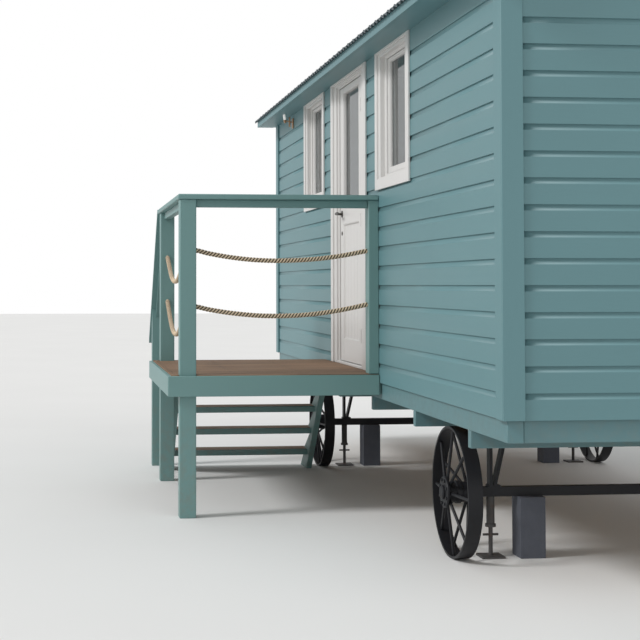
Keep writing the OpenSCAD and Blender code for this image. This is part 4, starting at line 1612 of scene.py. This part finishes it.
@dataclass
class Deck(SubAssembly):
    """The raised deck: boards, fascias, joists, posts and rails.

    A screw's head is a radius, a foot and a top.
    """

    near: float = 0.800
    far: float = -0.950
    outer: float = -2.480
    count: int = 11
    board_t: float = 0.028
    gap: float = 0.005
    wall_gap: float = 0.0005
    board_end: float = 0.002
    fascia_end: float = 0.003
    fascia_t: float = 0.025
    fascia_h: float = 0.128
    joists: tuple[float, float] = (-2.080, -1.660)
    joist_t: float = 0.047
    joist_up: float = 0.006
    ledger: tuple[float, float] = (-1.221, -1.1745)
    screw_rows: tuple = (-2.430, -2.056, -1.636, -1.200)
    screw: tuple[float, float, float] = (0.0042, -0.003, 0.0006)
    screw_in: float = 0.028
    post: float = 0.100
    post_out: float = -2.408
    post_in: float = -2.308
    post_gap: float = 0.003
    near_post: float = 0.675
    far_post: float = -0.925
    wall_post: float = -1.250
    rail_top: float = 1.945
    cap_t: float = 0.032
    cap_over: float = 0.010
    cap_joint: float = 0.002
    cap_far: float = -1.025
    under_h: float = 0.046
    under_t: float = 0.045

    @property
    def pitch(self) -> float:
        """Returns the step from one deck board to the next."""
        return (self.near_post - self.far_post - self.post) / self.count

    def boards(self) -> None:
        """Lays the deck's boards across it, in two parts where a post passes."""
        shape = Shape("deck_boarding").use(self.finishes.deck)
        inner, outer = -HULL.clad - self.board_end, self.outer + self.fascia_t
        beside = ((self.post_in + self.post_gap, inner), (outer, self.post_out - self.post_gap))
        runs = [(self.far_post + self.post, self.count, self.pitch, outer, inner)]
        runs += [(x, 1, self.post, *part) for x in (self.near_post, self.far_post) for part in beside]
        for seed, (start, number, step, low, high) in enumerate(runs, 1):
            side = self.gap / 2
            board = Shape("deck_board").block((side, 0.0, 0.0), (step - side, 1.0, self.board_t), 0.003)
            where = Matrix.Translation((start, low, HULL.deck - self.board_t))
            self.layers.row.lay(shape, board, where, Seed=seed, Count=number, Step=(step, 0.0, 0.0),
                                Stretch=(1.0, high - low, 1.0))
        shape.build(replaces=("deck_boards",), slot="deck_timber")

    def screws(self) -> None:
        """Sets two screw heads in each board over each joist."""
        radius, low, high = self.screw
        head = Shape("deck_screw").prism(circle(radius, 8), low, high, "z")
        shape = Shape("deck_screws").use(self.finishes.bronze)
        start = self.far_post + self.post
        for y, offset in product(self.screw_rows, (self.screw_in, self.pitch - self.screw_in)):
            self.layers.row.lay(shape, head, Matrix.Translation((start + offset, y, HULL.deck)), Seed=1,
                                Count=self.count, Step=(self.pitch, 0.0, 0.0), Stretch=(1.0, 1.0, 1.0))
        shape.build(slot="handle_metal")

    def framing(self) -> None:
        """Builds the fascias, the beam, the joists and the ledger."""
        shape = Shape("deck_framing").use(self.finishes.deck_paint_cross)
        low, high = HULL.deck - self.fascia_h, HULL.deck - self.gap
        joist_low, joist_high = low + self.joist_up, HULL.deck - self.board_t
        far, near, outer = self.far + self.fascia_t, self.near - self.fascia_t, self.outer + self.fascia_t
        for x0, x1 in ((self.far, far), (near, self.near)):
            shape.block((x0, self.outer, low), (x1, -HULL.clad - self.fascia_end, high), 0.003)
        shape.use(self.finishes.deck_paint)
        shape.block((far, self.outer, low), (near, outer, high), 0.003)
        for y in (outer, *self.joists):
            shape.block((far, y, joist_low), (near, y + self.joist_t, joist_high))
        wall = -HULL.clad - self.wall_gap
        shape.block((far, self.ledger[0], joist_low), (near, wall, joist_high))
        shape.block((far, wall, joist_low), (near, self.ledger[1], HULL.base - self.wall_gap))
        shape.build(replaces=("deck_frame",), slot="paint")

    def posts(self) -> None:
        """Builds the two tall posts and the short one against the hut."""
        shape = Shape("deck_post_timbers").use(self.finishes.deck_paint_upright)
        top = self.rail_top - self.cap_t
        for x in (self.near_post, self.far_post):
            shape.block((x, self.post_out, 0.0), (x + self.post, self.post_in, top), 0.004)
        shape.block((self.near_post, self.wall_post, HULL.deck),
                    (self.near_post + self.post, -HULL.clad - self.wall_gap, top), 0.003)
        shape.build(replaces=("deck_posts",), slot="paint")

    def rails(self) -> None:
        """Builds the rounded cap rails and the rails under them."""
        low, high = self.rail_top - self.cap_t, self.rail_top
        start, end = self.near_post - self.cap_over, self.near_post + self.post + self.cap_over
        out, inside = self.post_out - self.cap_over, self.post_in + self.cap_over
        shape = Shape("cap_rail_timbers").use(self.finishes.deck_paint_cross)
        shape.block((start, out, low), (end, -HULL.clad - self.wall_gap, high), 0.005)
        shape.use(self.finishes.deck_paint)
        shape.block((self.cap_far, out, low), (start - self.cap_joint, inside, high), 0.005)
        shape.build(replaces=("cap_rails",), slot="paint")
        x, y = self.near_post + self.post / 2, (self.post_out + self.post_in) / 2
        half, foot = self.under_t / 2, low - self.under_h
        under = Shape("under_rail_timbers").use(self.finishes.deck_paint_cross)
        under.block((x - half, self.post_in, foot), (x + half, self.wall_post, low), 0.003)
        under.use(self.finishes.deck_paint)
        under.block((self.far_post + self.post, y - half, foot), (self.near_post, y + half, low), 0.003)
        under.build(replaces=("under_rails",), slot="paint")

    def build(self) -> None:
        """Builds the deck."""
        self.boards()
        self.screws()
        self.framing()
        self.posts()
        self.rails()


@dataclass
class Steps(SubAssembly):
    """The flight at the deck's far end, with its newel and sloping handrail."""

    deck_far: float = -0.950
    rise: float = 0.176
    going: float = 0.162
    tread_t: float = 0.030
    tread_d: float = 0.225
    count: int = 4
    outer: float = -2.308
    inner: float = -1.210
    batten_t: float = 0.022
    batten_h: float = 0.042
    bearer_w: float = 0.040
    slat_t: float = 0.018
    slat_in: float = 0.004
    slat_up: float = 0.001
    # The front slat's lower tone is painted shade from the tread above; the back slat's tone is its own.
    slat_tones_with_painted_shade: tuple[float, float] = (0.04, -0.16)
    tread_tone: float = 0.04
    slat_gap: float = 0.0015
    slat_d: float = 0.110
    slat_split: float = 0.116
    rail_far: tuple[float, float] = (-1.944, 0.938)
    rail_near: tuple[float, float] = (-1.025, 1.908)
    rail_y: float = -2.358
    rail_h: float = 0.046
    rail_t: float = 0.045
    rail_gap: float = 0.0005
    newel_near: float = -1.682
    post_far: float = -0.925

    def treads(self) -> None:
        """Builds each tread as two brown slats, the front one darker as painted shade, on bearers between a
        painted nosing and a deep batten.
        """
        shape = Shape("tread_timbers")
        middle = (self.outer + self.inner - self.bearer_w) / 2
        for k in range(self.count):
            x, z = self.deck_far - (k + 1) * self.going, HULL.deck - (k + 1) * self.rise
            low = z - self.slat_up
            back = x + self.tread_d
            front_in, back_in = x + self.batten_t, back - self.batten_t
            shape.use(self.finishes.deck_paint_cross)
            shape.block((back_in, self.outer, z - self.batten_h), (back, self.inner, low), 0.003)
            shape.block((x, self.outer, z - self.tread_t), (front_in, self.inner, low), 0.003)
            for y in (self.outer, middle, self.inner - self.bearer_w):
                shape.block((front_in, y, z - self.tread_t), (back_in, y + self.bearer_w, z - self.slat_t))
            shape.use(self.finishes.deck)
            slats = ((back - self.slat_d, back_in - self.slat_gap),
                     (front_in + self.slat_gap, back - self.slat_split))
            # The front slat is darkened as painted shade from the tread above.
            for (start, end), tone in zip(slats, self.slat_tones_with_painted_shade):
                shape.block((start, self.outer + self.slat_in, z - self.slat_t),
                            (end, self.inner - self.slat_in, z), tone=tone - self.tread_tone * (k % 2))
        shape.build(replaces=("treads",), slot="deck_timber")

    def handrail_low(self, x: float) -> float:
        """Returns the height of the sloping handrail's underside."""
        (far_x, far_z), (near_x, near_z) = self.rail_far, self.rail_near
        return far_z + (near_z - far_z) * (x - far_x) / (near_x - far_x)

    def batten(self) -> None:
        """Adds the rail under the handrail, from the deck's post to the newel."""
        shape = Shape("handrail_batten").use(self.finishes.deck_paint)
        knee, top = self.rail_near
        line = [(self.newel_near, self.handrail_low(self.newel_near)), (knee, top), (self.post_far, top)]
        drop = self.rail_h / math.cos(math.atan(self.rise / self.going))
        outline = [(x, z - drop) for x, z in line] + [(x, z - self.rail_gap) for x, z in reversed(line)]
        shape.prism(outline, self.rail_y - self.rail_t / 2, self.rail_y + self.rail_t / 2, "y")
        shape.build(slot="paint")

    def build(self) -> None:
        """Builds the treads and dresses the rest of the flight."""
        self.treads()
        self.batten()
        dress(self.finishes.deck_paint, "stringers", "handrail")
        dress(self.finishes.deck_paint_upright, "newel_post")


@dataclass
class RunningGear(SubAssembly):
    """Sill beams, bearers, axles, hangers, wheels, props and blocks."""

    axles: tuple = (("near", 2.115), ("far", -1.575))
    wheel_r: float = 0.335
    wheel_face: float = 1.135
    nut_out: float = 0.032
    nut_circle: float = 0.064
    nut_start: float = 0.3927
    nuts: int = 8
    nut: tuple = ((-0.007, -0.006, -0.007), (0.007, 0.002, 0.007))
    sill_low: float = 0.700
    sill_y: tuple[float, float] = (1.174, 1.100)
    sill_x: tuple[float, float] = (3.166, 3.092)
    sill_end: float = 3.174
    cross_end: float = 1.098
    bearer_xs: tuple = (2.600, 1.560, 0.520, -0.520, -2.600)
    bearer_low: float = 0.615
    bearer_t: float = 0.045

    def timbers(self) -> None:
        """Builds the painted sill beams and cross bearers."""
        low, high = self.sill_low, HULL.base
        # The underframe's paint is darkened as painted shade.
        shape = Shape("sill_timbers").use(self.finishes.underframe_shaded_paint)
        for side in (-1, 1):
            (y0, y1), (x0, x1) = self.sill_y, self.sill_x
            shape.block((-self.sill_end, side * y0, low), (self.sill_end, side * y1, high), 0.003)
            shape.block((side * x0, -self.cross_end, low), (side * x1, self.cross_end, high), 0.003)
        shape.build(replaces=("sill_beams",), slot="paint")
        half, reach = self.bearer_t / 2, self.sill_y[0]
        bearers = Shape("bearer_timbers").use(self.finishes.underframe_shaded_paint)
        for x in self.bearer_xs:
            bearers.block((x - half, -reach, self.bearer_low), (x + half, reach, low), 0.003)
        bearers.build(replaces=("cross_bearers",), slot="paint")

    def flange_nuts(self) -> None:
        """Adds a ring of square nuts to each wheel's outer flange."""
        nut = Shape("flange_nut").block(*self.nut, 0.001)
        for (axle, x), (face, side) in product(self.axles, (("front", -1), ("back", 1))):
            name = f"{axle}_{face}_wheel"
            shape = Shape(name + "_nuts").use(self.finishes.iron)
            turn = Matrix.Rotation(math.pi, 4, "Z") if side > 0 else Matrix()
            where = Matrix.Translation((x, side * (self.wheel_face + self.nut_out), self.wheel_r)) @ turn
            self.layers.ring.lay(shape, nut, where, Seed=2, Count=self.nuts, Radius=self.nut_circle,
                                 Start=self.nut_start)
            shape.build(name, slot="black_iron")

    def build(self) -> None:
        """Builds the underframe and dresses the iron."""
        self.timbers()
        self.flange_nuts()
        dress(self.finishes.iron, "chassis_rails", "axles", "axle_hangers", "wheel_near_front",
              "wheel_near_back", "wheel_far_front", "wheel_far_back")
        dress(self.finishes.dull_iron, "screw_props")
        dress(self.finishes.block, "support_blocks")


@dataclass
class Lamp(SubAssembly):
    """The small tube lamp under the eave, on its bracket.

    The arm's points are (y, z). Each row of the stem is a height and a radius, and each row of the collar,
    the cup and the tube is a distance along the lean from the arm's end and a radius.
    """

    x: float = -2.325
    plate_half: float = 0.020
    plate_t: float = 0.012
    plate: tuple[float, float] = (2.704, 2.788)
    arm: tuple = ((-1.198, 2.755), (-1.221, 2.759), (-1.240, 2.765), (-1.260, 2.766))
    arm_r: float = 0.005
    stem: tuple = ((2.716, 0.005), (2.719, 0.007), (2.795, 0.007), (2.798, 0.005))
    lean: float = 9.0
    collar: tuple = ((-0.008, 0.010), (-0.006, 0.0125), (0.006, 0.0125), (0.008, 0.010))
    cup: tuple = ((-0.018, 0.006), (-0.016, 0.009), (-0.008, 0.0105))
    tube: tuple = ((0.008, 0.010), (0.052, 0.010), (0.054, 0.008))

    def build(self) -> None:
        """Builds the back plate, the arm and the tube."""
        x, wall = self.x, -HULL.clad
        shape = Shape("eave_lamp_fitting").use(self.finishes.copper)
        low, high = self.plate
        shape.block((x - self.plate_half, wall - self.plate_t, low),
                    (x + self.plate_half, wall, high), 0.004)
        stem = self.arm[1][0]
        shape.tube([(x, stem, z) for z, _ in self.stem], [radius for _, radius in self.stem], 16)
        arm = [Vector((x, y, z)) for y, z in self.arm]
        shape.tube(arm, [self.arm_r] * len(arm), 12)
        lean = math.radians(self.lean)
        up = Vector((0.0, -math.sin(lean), math.cos(lean)))
        for rows, finish in ((self.collar, self.finishes.copper), (self.cup, self.finishes.copper),
                             (self.tube, self.finishes.tube)):
            shape.use(finish).tube([arm[-1] + up * t for t, _ in rows], [radius for _, radius in rows], 24)
        shape.build(replaces=("eave_lamp",), slot="copper_metal")


def main() -> None:
    """Builds the studio, the ropes and then every sub-assembly."""
    finishes = Finishes()
    layers = Layers()
    Studio().build()
    for kind in (Ropes, Walls, Roof, Windows, Door, Deck, Steps, RunningGear, Lamp):
        kind(finishes, layers).build()


if __name__ == "__main__":
    main()
